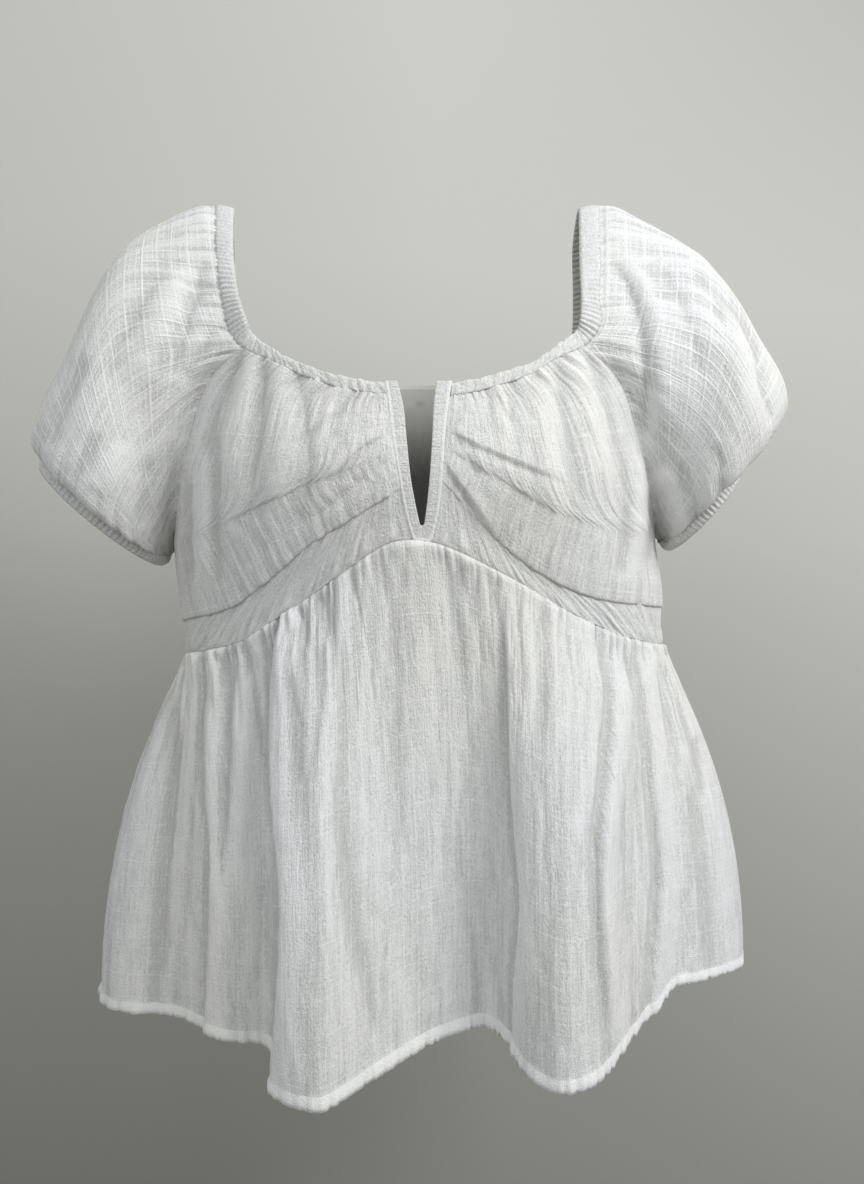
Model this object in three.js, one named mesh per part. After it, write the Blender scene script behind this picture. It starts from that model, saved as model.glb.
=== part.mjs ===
// Peasant blouse in crinkled cotton gauze, held open as it is worn.
// Millimetres, +Z up, the front faces -Y. "left" pieces lie on the -X side, "right" pieces on the +X side.
// The origin lies between the two shoulder straps, at the height of their crests and at mid depth.
import * as THREE from "three";

// Driving dimensions.
const CLOTH = 1.6; // wall that stands for one layer of gauze
const CASING = 2.4; // wall of a casing: two layers with flat elastic between
const SEAM_GAP = 0.34; // space between two sewn pieces
const CUFF_WIDTH = 8; // casing at the end of each sleeve
const SHOULDER_PUFF = 12; // how far a sleeve stands straight out of the strap before it falls
const RIGHT_LIFT = 7; // how much higher the +X underarm hangs
const LAP = 6; // how far the bust panel hangs over the midriff band
const BUST_EASE = 9; // how far the gathered bust panel puffs out from the body
const BUST_FULLEST = { down: 1.8, across: 0.8 }; // 1 puts the fullest place halfway; more moves it on
const HANG_FROM = 0.9; // share of the way down the bust panel where it starts to hang free of the band
const LAP_FROM = 0.7; // share of the way down where the bust panel starts to stand off the band
const PLEAT_EDGE = { across: 0.1, outer: 0.2, down: 0.125 }; // shares of the panel where its pleats die out
const FLARE = 2.2; // how soon the skirt reaches its hem width: 1 is a straight cone

// The body of the blouse, a row for each height: centre and half width across X, half depth front and back.
const TORSO = [
  { z: -70, centre: -6.5, side: 146, front: 84, back: 84 },
  { z: -105, centre: -6.5, side: 153, front: 97, back: 90 },
  { z: -140, centre: -6.5, side: 156, front: 105, back: 93 },
  { z: -185, centre: -6.5, side: 158, front: 110, back: 94 },
  { z: -225, centre: -6, side: 158, front: 103, back: 92 },
  { z: -262, centre: -2, side: 158, front: 95, back: 89 },
  { z: -300, centre: 0, side: 156, front: 91, back: 87 },
];

// Where the skirt is sewn on, by angle round the body: 0 is the centre front, 90 the +X side seam.
const EMPIRE_SEAM = [
  { angle: -90, z: -298 },
  { angle: -48, z: -288 },
  { angle: -31, z: -269 },
  { angle: -14, z: -242 },
  { angle: -6, z: -229 },
  { angle: 0, z: -226 },
  { angle: 7, z: -230 },
  { angle: 19, z: -246 },
  { angle: 36, z: -270 },
  { angle: 56, z: -285 },
  { angle: 90, z: -291 },
  { angle: 135, z: -296 },
  { angle: 180, z: -298 },
  { angle: 225, z: -299 },
  { angle: 270, z: -298 },
];

// Top of the midriff band, where the bust panel folds over it.
const BAND_LINE = {
  left: [
    { angle: -3, z: -194 },
    { angle: -12, z: -209 },
    { angle: -23, z: -226 },
    { angle: -37, z: -250 },
    { angle: -52, z: -265 },
    { angle: -90, z: -273 },
  ],
  right: [
    { angle: 6, z: -189 },
    { angle: 14, z: -213 },
    { angle: 26, z: -240 },
    { angle: 41, z: -256 },
    { angle: 63, z: -261 },
    { angle: 90, z: -263 },
  ],
};

// Raglan seam from the neck corner down to the underarm, by angle from the centre front or centre back.
const ARMHOLE = [
  { angle: 51, z: -122 },
  { angle: 56.5, z: -135 },
  { angle: 61, z: -155 },
  { angle: 66, z: -177 },
  { angle: 71, z: -202 },
  { angle: 79, z: -217 },
  { angle: 90, z: -226 },
];

// The V notch: x of its open edge and of the outer edge of its band, on each side.
const NOTCH = [
  { z: -135, leftOuter: -21.5, leftOpen: -15, rightOpen: 7.3, rightOuter: 16 },
  { z: -150, leftOuter: -19.5, leftOpen: -11.3, rightOpen: 5.9, rightOuter: 13.6 },
  { z: -170, leftOuter: -17, leftOpen: -9.3, rightOpen: 5, rightOuter: 11.8 },
  { z: -190, leftOuter: -13.6, leftOpen: -7.2, rightOpen: 3.7, rightOuter: 10.6 },
  { z: -205, leftOuter: -11.2, leftOpen: -4.6, rightOpen: 2.2, rightOuter: 9 },
  { z: -216, leftOuter: -8.6, leftOpen: -2.2, rightOpen: 0.7, rightOuter: 7 },
];
const NOTCH_FOOT = {
  openX: -0.7,
  openZ: -218,
  footHalf: 0.7, // half width of the open slit just above its foot
  footRise: 0.4,
  bandZ: -225.6,
  leftX: -5,
  rightX: 4,
};

// The neck casing, a row for each station from the notch round the neck: its open edge, then its sewn edge.
// Rows with no y lie on the body.
const NECK_LEFT = [
  { x: -21.8, z: -135.6, sewnX: -21.2, sewnZ: -143 },
  { x: -36, z: -134, sewnX: -35, sewnZ: -141.5 },
  { x: -52, z: -130, sewnX: -50, sewnZ: -138 },
  { x: -75, z: -121, sewnX: -72.5, sewnZ: -129 },
  { x: -91, z: -111, sewnX: -90, sewnZ: -119.5 },
  { x: -102, z: -101.5, sewnX: -108, sewnZ: -110 },
  { x: -106.5, z: -92, y: -73, sewnX: -118, sewnZ: -97, sewnY: -66 },
  { x: -112.5, z: -74.5, y: -65, sewnX: -124, sewnZ: -74, sewnY: -60 },
  { x: -118, z: -49, y: -49, sewnX: -130, sewnZ: -46, sewnY: -46 },
  { x: -122.5, z: -20, y: -25, sewnX: -135, sewnZ: -17, sewnY: -23 },
  { x: -126.5, z: -3, y: 0, sewnX: -139, sewnZ: -0.8, sewnY: 0 },
  { x: -130.5, z: -20, y: 25, sewnX: -143, sewnZ: -17, sewnY: 23 },
  { x: -132, z: -49, y: 46, sewnX: -144.5, sewnZ: -46, sewnY: 43 },
  { x: -124, z: -75, y: 61, sewnX: -136, sewnZ: -77, sewnY: 56 },
  { x: -108, z: -97, sewnX: -117, sewnZ: -106 },
];
const NECK_BACK = [
  { x: -80, z: -101, sewnX: -82, sewnZ: -113 },
  { x: -42, z: -102, sewnX: -42, sewnZ: -114 },
  { x: -6, z: -102, sewnX: -6, sewnZ: -114 },
  { x: 32, z: -102, sewnX: 32, sewnZ: -114 },
  { x: 70, z: -100.5, sewnX: 71, sewnZ: -112.5 },
];
const NECK_RIGHT = [
  { x: 98, z: -97, sewnX: 106, sewnZ: -106 },
  { x: 105, z: -75, y: 62, sewnX: 117, sewnZ: -77, sewnY: 57 },
  { x: 104.5, z: -49, y: 47, sewnX: 117.5, sewnZ: -46, sewnY: 44 },
  { x: 101.5, z: -20, y: 25, sewnX: 115, sewnZ: -17, sewnY: 23 },
  { x: 102, z: -3, y: 0, sewnX: 115.5, sewnZ: -0.5, sewnY: 0 },
  { x: 99, z: -24, y: -28, sewnX: 112.5, sewnZ: -20, sewnY: -25 },
  { x: 96.5, z: -53, y: -50, sewnX: 110, sewnZ: -50, sewnY: -47 },
  { x: 95.4, z: -75, y: -65, sewnX: 107.5, sewnZ: -75, sewnY: -60 },
  { x: 94, z: -91, y: -73, sewnX: 106.5, sewnZ: -95, sewnY: -68 },
  { x: 91, z: -99.5, sewnX: 97, sewnZ: -108 },
  { x: 79.5, z: -109, sewnX: 79, sewnZ: -118 },
  { x: 65, z: -120.5, sewnX: 63.5, sewnZ: -128.5 },
  { x: 48.5, z: -127.5, sewnX: 47.5, sewnZ: -135.5 },
  { x: 32.5, z: -132.5, sewnX: 32, sewnZ: -140.5 },
  { x: 16.3, z: -136.5, sewnX: 15.8, sewnZ: -144 },
];

// Sleeve sections past the raglan seam: ring centre, then half axes towards the shoulder (top) and the front.
const SLEEVE = {
  left: [
    { x: -179.5, z: -127.3, topX: -13.5, topZ: 100.3, frontX: 0, frontY: -68, frontZ: -2 },
    { x: -198.8, z: -161.7, topX: -31.3, topZ: 67.7, frontX: -2, frontY: -73, frontZ: -8 },
    { x: -212.5, z: -191, topX: -43.5, topZ: 40, frontX: 2, frontY: -66, frontZ: -8 },
    { x: -209, z: -198.5, topX: -39, topZ: 33, frontX: 3, frontY: -50, frontZ: -5 },
  ],
  right: [
    { x: 166, z: -126.5, topX: 11.8, topZ: 93.5, frontX: 0, frontY: -67, frontZ: 0 },
    { x: 186, z: -152.7, topX: 30, topZ: 68.7, frontX: 0, frontY: -72, frontZ: -4 },
    { x: 197, z: -176.3, topX: 41, topZ: 47, frontX: -3, frontY: -62, frontZ: -6 },
    { x: 180, z: -197, topX: 22.5, topZ: 25.5, frontX: -3, frontY: -46, frontZ: -3 },
  ],
};

// Hem of the skirt, a row for each ridge, valley or slope: its place, and where its line leaves the seam.
const HEM_FRONT = [
  { x: -213, y: 0, z: -518, seam: -90 },
  { x: -198, y: -36, z: -520, seam: -80 },
  { x: -150, y: -62, z: -515, seam: -66 },
  { x: -116, y: -92, z: -517, seam: -52 },
  { x: -91, y: -91, z: -521, seam: -37 },
  { x: -83, y: -120, z: -537, seam: -30 },
  { x: -57, y: -134, z: -540, seam: -22 },
  { x: -30, y: -110, z: -534, seam: -14 },
  { x: -13, y: -98, z: -527, seam: -7 },
  { x: 18, y: -82, z: -518, seam: 5 },
  { x: 39, y: -80, z: -515, seam: 14 },
  { x: 54, y: -98, z: -524, seam: 20 },
  { x: 61, y: -113, z: -531, seam: 25 },
  { x: 79, y: -124, z: -535, seam: 32 },
  { x: 101, y: -116, z: -529, seam: 39 },
  { x: 113, y: -100, z: -520, seam: 46 },
  { x: 127, y: -86, z: -513, seam: 54 },
  { x: 150, y: -66, z: -496, seam: 65 },
  { x: 180, y: -50, z: -496, seam: 76 },
  { x: 212, y: 0, z: -502, seam: 90 },
];
const HEM_BACK = [
  { x: 203, y: 44, z: -508, seam: 104 },
  { x: 176, y: 74, z: -512, seam: 117 },
  { x: 142, y: 94, z: -514, seam: 129 },
  { x: 113, y: 126, z: -518, seam: 141 },
  { x: 82, y: 132, z: -519, seam: 152 },
  { x: 52, y: 116, z: -517, seam: 162 },
  { x: 22, y: 124, z: -519, seam: 172 },
  { x: -8, y: 142, z: -521, seam: 181 },
  { x: -38, y: 131, z: -519, seam: 191 },
  { x: -66, y: 117, z: -518, seam: 201 },
  { x: -97, y: 128, z: -520, seam: 212 },
  { x: -126, y: 120, z: -519, seam: 223 },
  { x: -152, y: 90, z: -516, seam: 235 },
  { x: -186, y: 74, z: -518, seam: 247 },
  { x: -208, y: 38, z: -519, seam: 259 },
];

// Pleats folded into the bust panels: a soft ridge from the notch band to its far end, in front view.
const BUST_PLEATS = [
  { x1: -20, z1: -166, x2: -68, z2: -200, height: 3.2, width: 9 },
  { x1: -36, z1: -137, x2: -96, z2: -170, height: 2.4, width: 9 },
  { x1: 14, z1: -162, x2: 92, z2: -198, height: 3.4, width: 9 },
  { x1: 18, z1: -150, x2: 34, z2: -196, height: 2.4, width: 8 },
];

// Colours and finish.
const GAUZE = { color: 0xe9e9e5, roughness: 0.95, metalness: 0 };
const GAUZE_DOUBLE = { color: 0xf1f1ee, roughness: 0.92, metalness: 0 };

const DEGREE = Math.PI / 180;
const clamp = (value, low, high) => Math.min(Math.max(value, low), high);
const mix = (a, b, share) => a + (b - a) * share;
const ramp = (value, from, to) => clamp((value - from) / (to - from), 0, 1);

// Smooth value at place t of 0 to 1 along a row of numbers.
function spline(values, t) {
  const at = clamp(t, 0, 1) * (values.length - 1);
  const i = Math.min(Math.floor(at), values.length - 2);
  const f = at - i;
  const before = values[Math.max(i - 1, 0)];
  const after = values[Math.min(i + 2, values.length - 1)];
  const start = (values[i + 1] - before) / 2;
  const end = (after - values[i]) / 2;
  const a = 2 * values[i] - 2 * values[i + 1] + start + end;
  const b = -3 * values[i] + 3 * values[i + 1] - 2 * start - end;
  return ((a * f + b) * f + start) * f + values[i];
}

// Smooth row at place t along a table: every column is splined.
function along(table, t) {
  const row = {};
  for (const key of Object.keys(table[0])) row[key] = spline(table.map((r) => r[key]), t);
  return row;
}

// Value of one column of a table at a given value of another column, with straight steps between rows.
function lookUp(table, key, value, wanted) {
  const rising = table[table.length - 1][key] > table[0][key];
  const rows = rising ? table : [...table].reverse();
  let i = 0;
  while (i < rows.length - 2 && value > rows[i + 1][key]) i += 1;
  const share = (value - rows[i][key]) / (rows[i + 1][key] - rows[i][key]);
  return mix(rows[i][wanted], rows[i + 1][wanted], clamp(share, 0, 1));
}

// Size of the body at height z, eased between the rows of TORSO.
function torsoSize(z) {
  const last = TORSO.length - 1;
  let i = 0;
  while (i < last - 1 && z < TORSO[i + 1].z) i += 1;
  const share = clamp((z - TORSO[i].z) / (TORSO[i + 1].z - TORSO[i].z), 0, 1);
  return along(TORSO, (i + share) / last);
}

// Point of the body's surface at an angle and height, moved out by ease.
function torsoPoint(angle, z, ease = 0) {
  const size = torsoSize(z);
  const depth = Math.cos(angle * DEGREE) > 0 ? size.front : size.back;
  return new THREE.Vector3(
    size.centre + (size.side + ease) * Math.sin(angle * DEGREE),
    -(depth + ease) * Math.cos(angle * DEGREE),
    z,
  );
}

// Angle of the point at x and z seen from the front; the same place at the back is 180 minus it.
function angleAt(x, z) {
  const size = torsoSize(z);
  return Math.asin(clamp((x - size.centre) / size.side, -1, 1)) / DEGREE;
}

// Height of the skirt seam at an angle, on a smooth curve through the rows of EMPIRE_SEAM.
function seamHeight(angle) {
  const last = EMPIRE_SEAM.length - 1;
  let i = 0;
  while (i < last - 1 && angle > EMPIRE_SEAM[i + 1].angle) i += 1;
  const slope = (k) => {
    const a = EMPIRE_SEAM[Math.max(k - 1, 0)];
    const b = EMPIRE_SEAM[Math.min(k + 1, last)];
    return (b.z - a.z) / (b.angle - a.angle);
  };
  const [a, b] = [EMPIRE_SEAM[i], EMPIRE_SEAM[i + 1]];
  const width = b.angle - a.angle;
  const f = (angle - a.angle) / width;
  const ease = f * f * (3 - 2 * f);
  const bend = width * f * (1 - f) * ((1 - f) * slope(i) - f * slope(i + 1));
  return mix(a.z, b.z, ease) + bend;
}

// A closed wall whose outer face is a grid of points. The inner face lies one thickness behind it.
// closed joins the last column to the first. Open edges are drawn back to leave the seam's gap.
// normalAt gives the outward direction; without it the grid's own slope does.
function wall(columns, rows, closed, pointAt, thickness, normalAt = null) {
  const wide = closed ? columns : columns + 1;
  const outer = [];
  const places = [];
  for (let j = 0; j <= rows; j += 1) {
    for (let i = 0; i < wide; i += 1) {
      places.push([i / columns, j / rows]);
      outer.push(pointAt(i / columns, j / rows));
    }
  }
  const id = (i, j) => j * wide + (closed ? (i + wide) % wide : clamp(i, 0, wide - 1));
  const slope = (i, j) => {
    const across = new THREE.Vector3().subVectors(outer[id(i + 1, j)], outer[id(i - 1, j)]);
    const below = outer[id(i, Math.min(j + 1, rows))];
    const down = new THREE.Vector3().subVectors(below, outer[id(i, Math.max(j - 1, 0))]);
    return down.cross(across).normalize();
  };
  const normals = outer.map((point, index) =>
    normalAt ? normalAt(...places[index]) : slope(index % wide, Math.floor(index / wide)),
  );
  const drawBack = (edges) => {
    const moved = edges.map(([edge, next]) => {
      const step = new THREE.Vector3().subVectors(outer[next], outer[edge]).normalize();
      return [edge, outer[edge].clone().addScaledVector(step, SEAM_GAP / 2)];
    });
    moved.forEach(([index, point]) => outer[index].copy(point));
  };
  const ends = [];
  for (let i = 0; i < wide; i += 1) ends.push([id(i, 0), id(i, 1)], [id(i, rows), id(i, rows - 1)]);
  drawBack(ends);
  const sides = [];
  for (let j = 0; j <= rows; j += 1) {
    sides.push([id(0, j), id(1, j)], [id(wide - 1, j), id(wide - 2, j)]);
  }
  if (!closed) drawBack(sides);
  const inner = outer.map((point, index) => point.clone().addScaledVector(normals[index], -thickness));
  const behind = outer.length;
  const faces = [];
  const quad = (a, b, c, d) => faces.push(a, b, c, a, c, d);
  for (let j = 0; j < rows; j += 1) {
    for (let i = 0; i < columns; i += 1) {
      const [a, b, c, d] = [id(i, j), id(i, j + 1), id(i + 1, j + 1), id(i + 1, j)];
      quad(a, b, c, d);
      faces.push(behind + c, behind + b, behind + a, behind + d, behind + c, behind + a);
    }
    if (!closed) {
      quad(id(0, j), behind + id(0, j), behind + id(0, j + 1), id(0, j + 1));
      quad(id(wide, j + 1), behind + id(wide, j + 1), behind + id(wide, j), id(wide, j));
    }
  }
  for (let i = 0; i < columns; i += 1) {
    quad(id(i + 1, 0), behind + id(i + 1, 0), behind + id(i, 0), id(i, 0));
    quad(id(i, rows), behind + id(i, rows), behind + id(i + 1, rows), id(i + 1, rows));
  }
  const geometry = new THREE.BufferGeometry();
  const positions = [...outer, ...inner].flatMap((p) => [p.x, p.y, p.z]);
  geometry.setAttribute("position", new THREE.Float32BufferAttribute(positions, 3));
  geometry.setIndex(faces);
  return geometry;
}

// Blend of four edges, each a function of t that gives an angle and a height, into one panel.
function panel(top, bottom, first, last) {
  return (u, v) => {
    const place = {};
    for (const key of ["angle", "z"]) {
      const across = mix(first(v)[key], last(v)[key], u);
      const down = mix(top(u)[key], bottom(u)[key], v);
      const corners = mix(
        mix(top(0)[key], top(1)[key], u),
        mix(bottom(0)[key], bottom(1)[key], u),
        v,
      );
      place[key] = across + down - corners;
    }
    return place;
  };
}

// Shares of a pleat's length: over which it rises, where it has died out, and over which it does so.
const PLEAT_START = 0.06;
const PLEAT_END = 1.1;
const PLEAT_RUN_OUT = 0.4;

// Height of the bust pleats over the panel at a front-view place.
function pleatHeight(x, z) {
  let height = 0;
  for (const pleat of BUST_PLEATS) {
    const dx = pleat.x2 - pleat.x1;
    const dz = pleat.z2 - pleat.z1;
    const length = Math.hypot(dx, dz);
    const share = ((x - pleat.x1) * dx + (z - pleat.z1) * dz) / length ** 2;
    const off = ((x - pleat.x1) * dz - (z - pleat.z1) * dx) / length / pleat.width;
    const fade = ramp(share, -PLEAT_START, PLEAT_START) * ramp(PLEAT_END - share, 0, PLEAT_RUN_OUT);
    height += pleat.height * fade * Math.exp(-2 * off * off);
  }
  return height;
}

// The neck casing's rows with their depth filled in from the body.
const BACK_START = NECK_LEFT.length - 1; // row of the back neck corner on the -X side
const BACK_END = NECK_LEFT.length + NECK_BACK.length; // the same on the +X side
const CASING_ROWS = [...NECK_LEFT, ...NECK_BACK, ...NECK_RIGHT].map((row, index) => {
  const atBack = index >= BACK_START && index <= BACK_END;
  const depth = (x, z, y) => {
    const angle = angleAt(x, z);
    return y === undefined ? torsoPoint(atBack ? 180 - angle : angle, z).y : y;
  };
  return {
    x: row.x,
    y: depth(row.x, row.z, row.y),
    z: row.z,
    sewnX: row.sewnX,
    sewnY: depth(row.sewnX, row.sewnZ, row.sewnY),
    sewnZ: row.sewnZ,
  };
});
const CASING_LAST = CASING_ROWS.length - 1;
const CORNER = { left: 5, right: CASING_LAST - 5 }; // rows of the front neck corners
const CREST = { left: 10, right: CASING_LAST - 10 }; // rows of the strap crests
const BACK_CORNER = { left: BACK_START, right: BACK_END };
const PER_ROW = 4; // casing columns for each row of its table

const sideName = (side) => (side < 0 ? "left" : "right");
const casingAt = (row) => along(CASING_ROWS, row / CASING_LAST);

// Sewn edge of the casing between two of its rows, as an angle and height on the body.
function neckEdge(from, to, atBack) {
  return (t) => {
    const row = casingAt(mix(from, to, t));
    const angle = angleAt(row.sewnX, row.sewnZ);
    return { angle: atBack ? 180 - angle : angle, z: row.sewnZ };
  };
}

// Outer edge of the notch band from height z0 to height z1.
function notchEdge(side, z0, z1) {
  const column = side < 0 ? "leftOuter" : "rightOuter";
  const foot = { z: NOTCH_FOOT.bandZ, [column]: side < 0 ? NOTCH_FOOT.leftX : NOTCH_FOOT.rightX };
  return (t) => {
    const z = mix(z0, z1, t);
    return { angle: angleAt(lookUp([...NOTCH, foot], "z", z, column) + side * SEAM_GAP, z), z };
  };
}

// Rows of a raglan seam from the neck corner to the underarm, by angle from the centre front or back.
function raglanSeam(side, atBack) {
  const corner = neckEdge(0, (atBack ? BACK_CORNER : CORNER)[sideName(side)], false)(1);
  const lift = side > 0 ? RIGHT_LIFT : 0;
  const rows = ARMHOLE.map((r, i) => ({ angle: r.angle, z: r.z + (lift * (i + 1)) / ARMHOLE.length }));
  return [{ angle: Math.abs(corner.angle), z: corner.z }, ...rows];
}

// Raglan seam, then the side seam down to endZ in the given number of steps.
function outerEdge(side, endZ, steps, atBack) {
  const seam = raglanSeam(side, atBack);
  const length = seam.length - 1;
  return (t) => {
    const at = t * (length + steps);
    const below = Math.max(at - length, 0) / steps;
    const row = along(seam, Math.min(at / length, 1));
    const angle = atBack ? 180 - row.angle : row.angle;
    return { angle: side * angle, z: mix(row.z, endZ, below) };
  };
}

const SIDE_SEAM = 89.9; // angle where the midriff band stops, just short of the side seam
const SIDE_STEPS = { front: 3, back: 5 }; // rows of the panels below the underarm
const MIDRIFF_ROWS = 3;
const SKIRT_ROWS = 6;

// The whole skirt as one ring: rows of both panels, from the -X side seam by the front and back again.
const HEM_RING = [...HEM_FRONT, ...HEM_BACK];

function ringRow(at) {
  const count = HEM_RING.length;
  const index = Math.floor(at);
  const four = [-1, 0, 1, 2].map((k) => {
    const turns = Math.floor((index + k) / count);
    const row = HEM_RING[index + k - turns * count];
    return { ...row, seam: row.seam + 360 * turns };
  });
  const row = {};
  for (const key of Object.keys(four[0])) {
    row[key] = spline([...four.map((r) => r[key])], (1 + at - index) / 3);
  }
  return row;
}

// Bust panel: gathered into the neck casing, pleated into the notch band, puffed over the midriff band.
function bustPanel(side) {
  const line = BAND_LINE[sideName(side)];
  const end = side < 0 ? 0 : CASING_LAST;
  const place = panel(
    neckEdge(end, CORNER[sideName(side)], false),
    (t) => along(line, t),
    notchEdge(side, CASING_ROWS[end].sewnZ, line[0].z),
    outerEdge(side, line.at(-1).z, SIDE_STEPS.front, false),
  );
  const point = (u, v) => {
    const { angle, z } = place(u, v);
    const hang = LAP * ramp(v, HANG_FROM, 1);
    const lap = (CLOTH + 2 * SEAM_GAP) * ramp(v, LAP_FROM, HANG_FROM);
    const down = Math.sin(Math.PI * v ** BUST_FULLEST.down);
    const across = Math.sin(Math.PI * u ** BUST_FULLEST.across);
    const flat = torsoPoint(angle, z);
    const start = ramp(u, 0, PLEAT_EDGE.across) * ramp(v, 0, PLEAT_EDGE.down);
    const inside = start * ramp(1 - u, 0, PLEAT_EDGE.outer);
    const ease = BUST_EASE * Math.max(down * across, 0) + lap + inside * pleatHeight(flat.x, flat.z);
    return torsoPoint(angle, z - hang, ease);
  };
  const rows = ARMHOLE.length + SIDE_STEPS.front;
  const mapped = (u, v) => point(side < 0 ? 1 - u : u, v);
  return wall(CORNER.left * PER_ROW, rows, false, mapped, CLOTH);
}

// Midriff band between the fold of the bust panel and the skirt seam. Its columns meet the skirt's.
function midriffBand(side) {
  const line = BAND_LINE[sideName(side)];
  const start = angleAt(side < 0 ? NOTCH_FOOT.leftX : NOTCH_FOOT.rightX, NOTCH_FOOT.bandZ);
  const angles = [];
  for (let at = 0; at <= HEM_FRONT.length - 1; at += 0.5) {
    const angle = ringRow(at).seam;
    if (side * (angle - start) > 1) angles.push(angle);
  }
  if (side < 0) angles.reverse();
  const columns = [start, ...angles];
  const count = columns.length - 1;
  const place = panel(
    (t) => along(line, t),
    (t) => {
      const angle = columns[Math.round(t * count)];
      return { angle, z: seamHeight(angle) };
    },
    notchEdge(side, line[0].z, seamHeight(start)),
    (t) => ({ angle: side * 90, z: mix(line.at(-1).z, seamHeight(side * 90), t) }),
  );
  const point = (u, v) => {
    const { angle, z } = place(side < 0 ? 1 - u : u, v);
    return torsoPoint(clamp(angle, -SIDE_SEAM, SIDE_SEAM), z);
  };
  return wall(count, MIDRIFF_ROWS, false, point, CLOTH);
}

// Back bodice from the neck casing and both raglan seams to the skirt seam, one piece.
function backBodice() {
  const place = panel(
    neckEdge(BACK_END, BACK_START, true),
    (t) => ({ angle: mix(90, 270, t), z: seamHeight(mix(90, 270, t)) }),
    outerEdge(1, seamHeight(90), SIDE_STEPS.back, true),
    (t) => {
      const row = outerEdge(-1, seamHeight(270), SIDE_STEPS.back, true)(t);
      return { angle: row.angle + 360, z: row.z };
    },
  );
  const point = (u, v) => {
    const { angle, z } = place(u, v);
    return torsoPoint(angle, z);
  };
  return wall((BACK_END - BACK_START) * PER_ROW, ARMHOLE.length + SIDE_STEPS.back, false, point, CLOTH);
}

// Band round the notch: one strip down the left edge, round the foot and up the right edge.
function notchBand() {
  const { openX, openZ, bandZ, leftX, rightX, footHalf, footRise } = NOTCH_FOOT;
  const strip = [
    ...NOTCH.map((r) => ({ x: r.leftOuter, z: r.z, openX: r.leftOpen, openZ: r.z })),
    { x: leftX, z: bandZ, openX: openX - footHalf, openZ: openZ + footRise },
    { x: (leftX + rightX) / 2, z: bandZ, openX, openZ },
    { x: rightX, z: bandZ, openX: openX + footHalf, openZ: openZ + footRise },
    ...NOTCH.map((r) => ({ x: r.rightOuter, z: r.z, openX: r.rightOpen, openZ: r.z })).reverse(),
  ];
  const point = (u, v) => {
    const row = along(strip, u);
    const z = mix(row.openZ, row.z, v);
    return torsoPoint(angleAt(mix(row.openX, row.x, v), z), z, 0);
  };
  return wall((strip.length - 1) * 2, 1, false, point, CLOTH);
}

// Elastic casing from the notch round the left strap, the back and the right strap to the notch again.
function neckCasing() {
  const point = (u, v) => {
    const row = casingAt(u * CASING_LAST);
    const open = new THREE.Vector3(row.x, row.y, row.z);
    return open.lerp(new THREE.Vector3(row.sewnX, row.sewnY, row.sewnZ), v);
  };
  return wall(CASING_LAST * PER_ROW, 1, false, (u, v) => point(1 - u, v), CASING);
}

// First ring of a sleeve: stations from the strap crest by the front neck corner, the underarm and the back
// neck corner to the crest again, each with its share of a turn.
function sleeveMouth(side) {
  const name = sideName(side);
  const stations = [];
  const strap = (from, to, turn) => {
    const count = Math.abs(to - from) * 2;
    for (let i = 0; i < count; i += 1) {
      const row = casingAt(mix(from, to, i / count));
      const point = new THREE.Vector3(row.sewnX, row.sewnY, row.sewnZ);
      stations.push({ turn: turn + (0.25 * i) / count, point });
    }
  };
  const seam = (rows, atBack, turn) => {
    const count = rows.length - 1;
    for (let i = 0; i < count; i += 1) {
      const angle = atBack ? 180 - rows[i].angle : rows[i].angle;
      stations.push({ turn: turn + (0.25 * i) / count, point: torsoPoint(side * angle, rows[i].z) });
    }
  };
  strap(CREST[name], CORNER[name], 0);
  seam(raglanSeam(side, false), false, 0.25);
  seam([...raglanSeam(side, true)].reverse(), true, 0.5);
  strap(BACK_CORNER[name], CREST[name], 0.75);
  return stations;
}

// Point of a sleeve's ring at a share of a turn, from the shoulder by the front.
function ringPoint(ring, turn) {
  const top = Math.cos(turn * 2 * Math.PI);
  const front = Math.sin(turn * 2 * Math.PI);
  return new THREE.Vector3(
    ring.x + ring.topX * top + ring.frontX * front,
    ring.frontY * front,
    ring.z + ring.topZ * top + ring.frontZ * front,
  );
}

const MOUTH_GAP = 1; // space between the strap or raglan seam and the sleeve
const MOUTH_STEP = 1; // how far every column of a sleeve starts straight out
const MOUTH_LIFT = 1.6; // rise of that start at the crest
const MOUTH_DROP = 0.4; // its fall at the underarm
const SLEEVE_ROWS = 9;

// Balloon sleeve through its mouth and its rings.
function sleeve(side) {
  const stations = sleeveMouth(side);
  const rings = SLEEVE[sideName(side)];
  const curves = stations.map(({ turn, point }) => {
    const start = point.clone();
    start.x += side * MOUTH_GAP;
    const rise = 0.5 + 0.5 * Math.cos(turn * 2 * Math.PI);
    const out = start.clone();
    out.x += side * (MOUTH_STEP + SHOULDER_PUFF * rise);
    out.z += mix(-MOUTH_DROP, MOUTH_LIFT, rise);
    const points = [start, out, ...rings.map((ring) => ringPoint(ring, turn))];
    return new THREE.CatmullRomCurve3(points, false, "centripetal");
  });
  const count = stations.length;
  const point = (u, v) => curves[Math.round((side < 0 ? u : 1 - u) * count) % count].getPoint(v);
  return wall(count, SLEEVE_ROWS, true, point, CLOTH);
}

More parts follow.
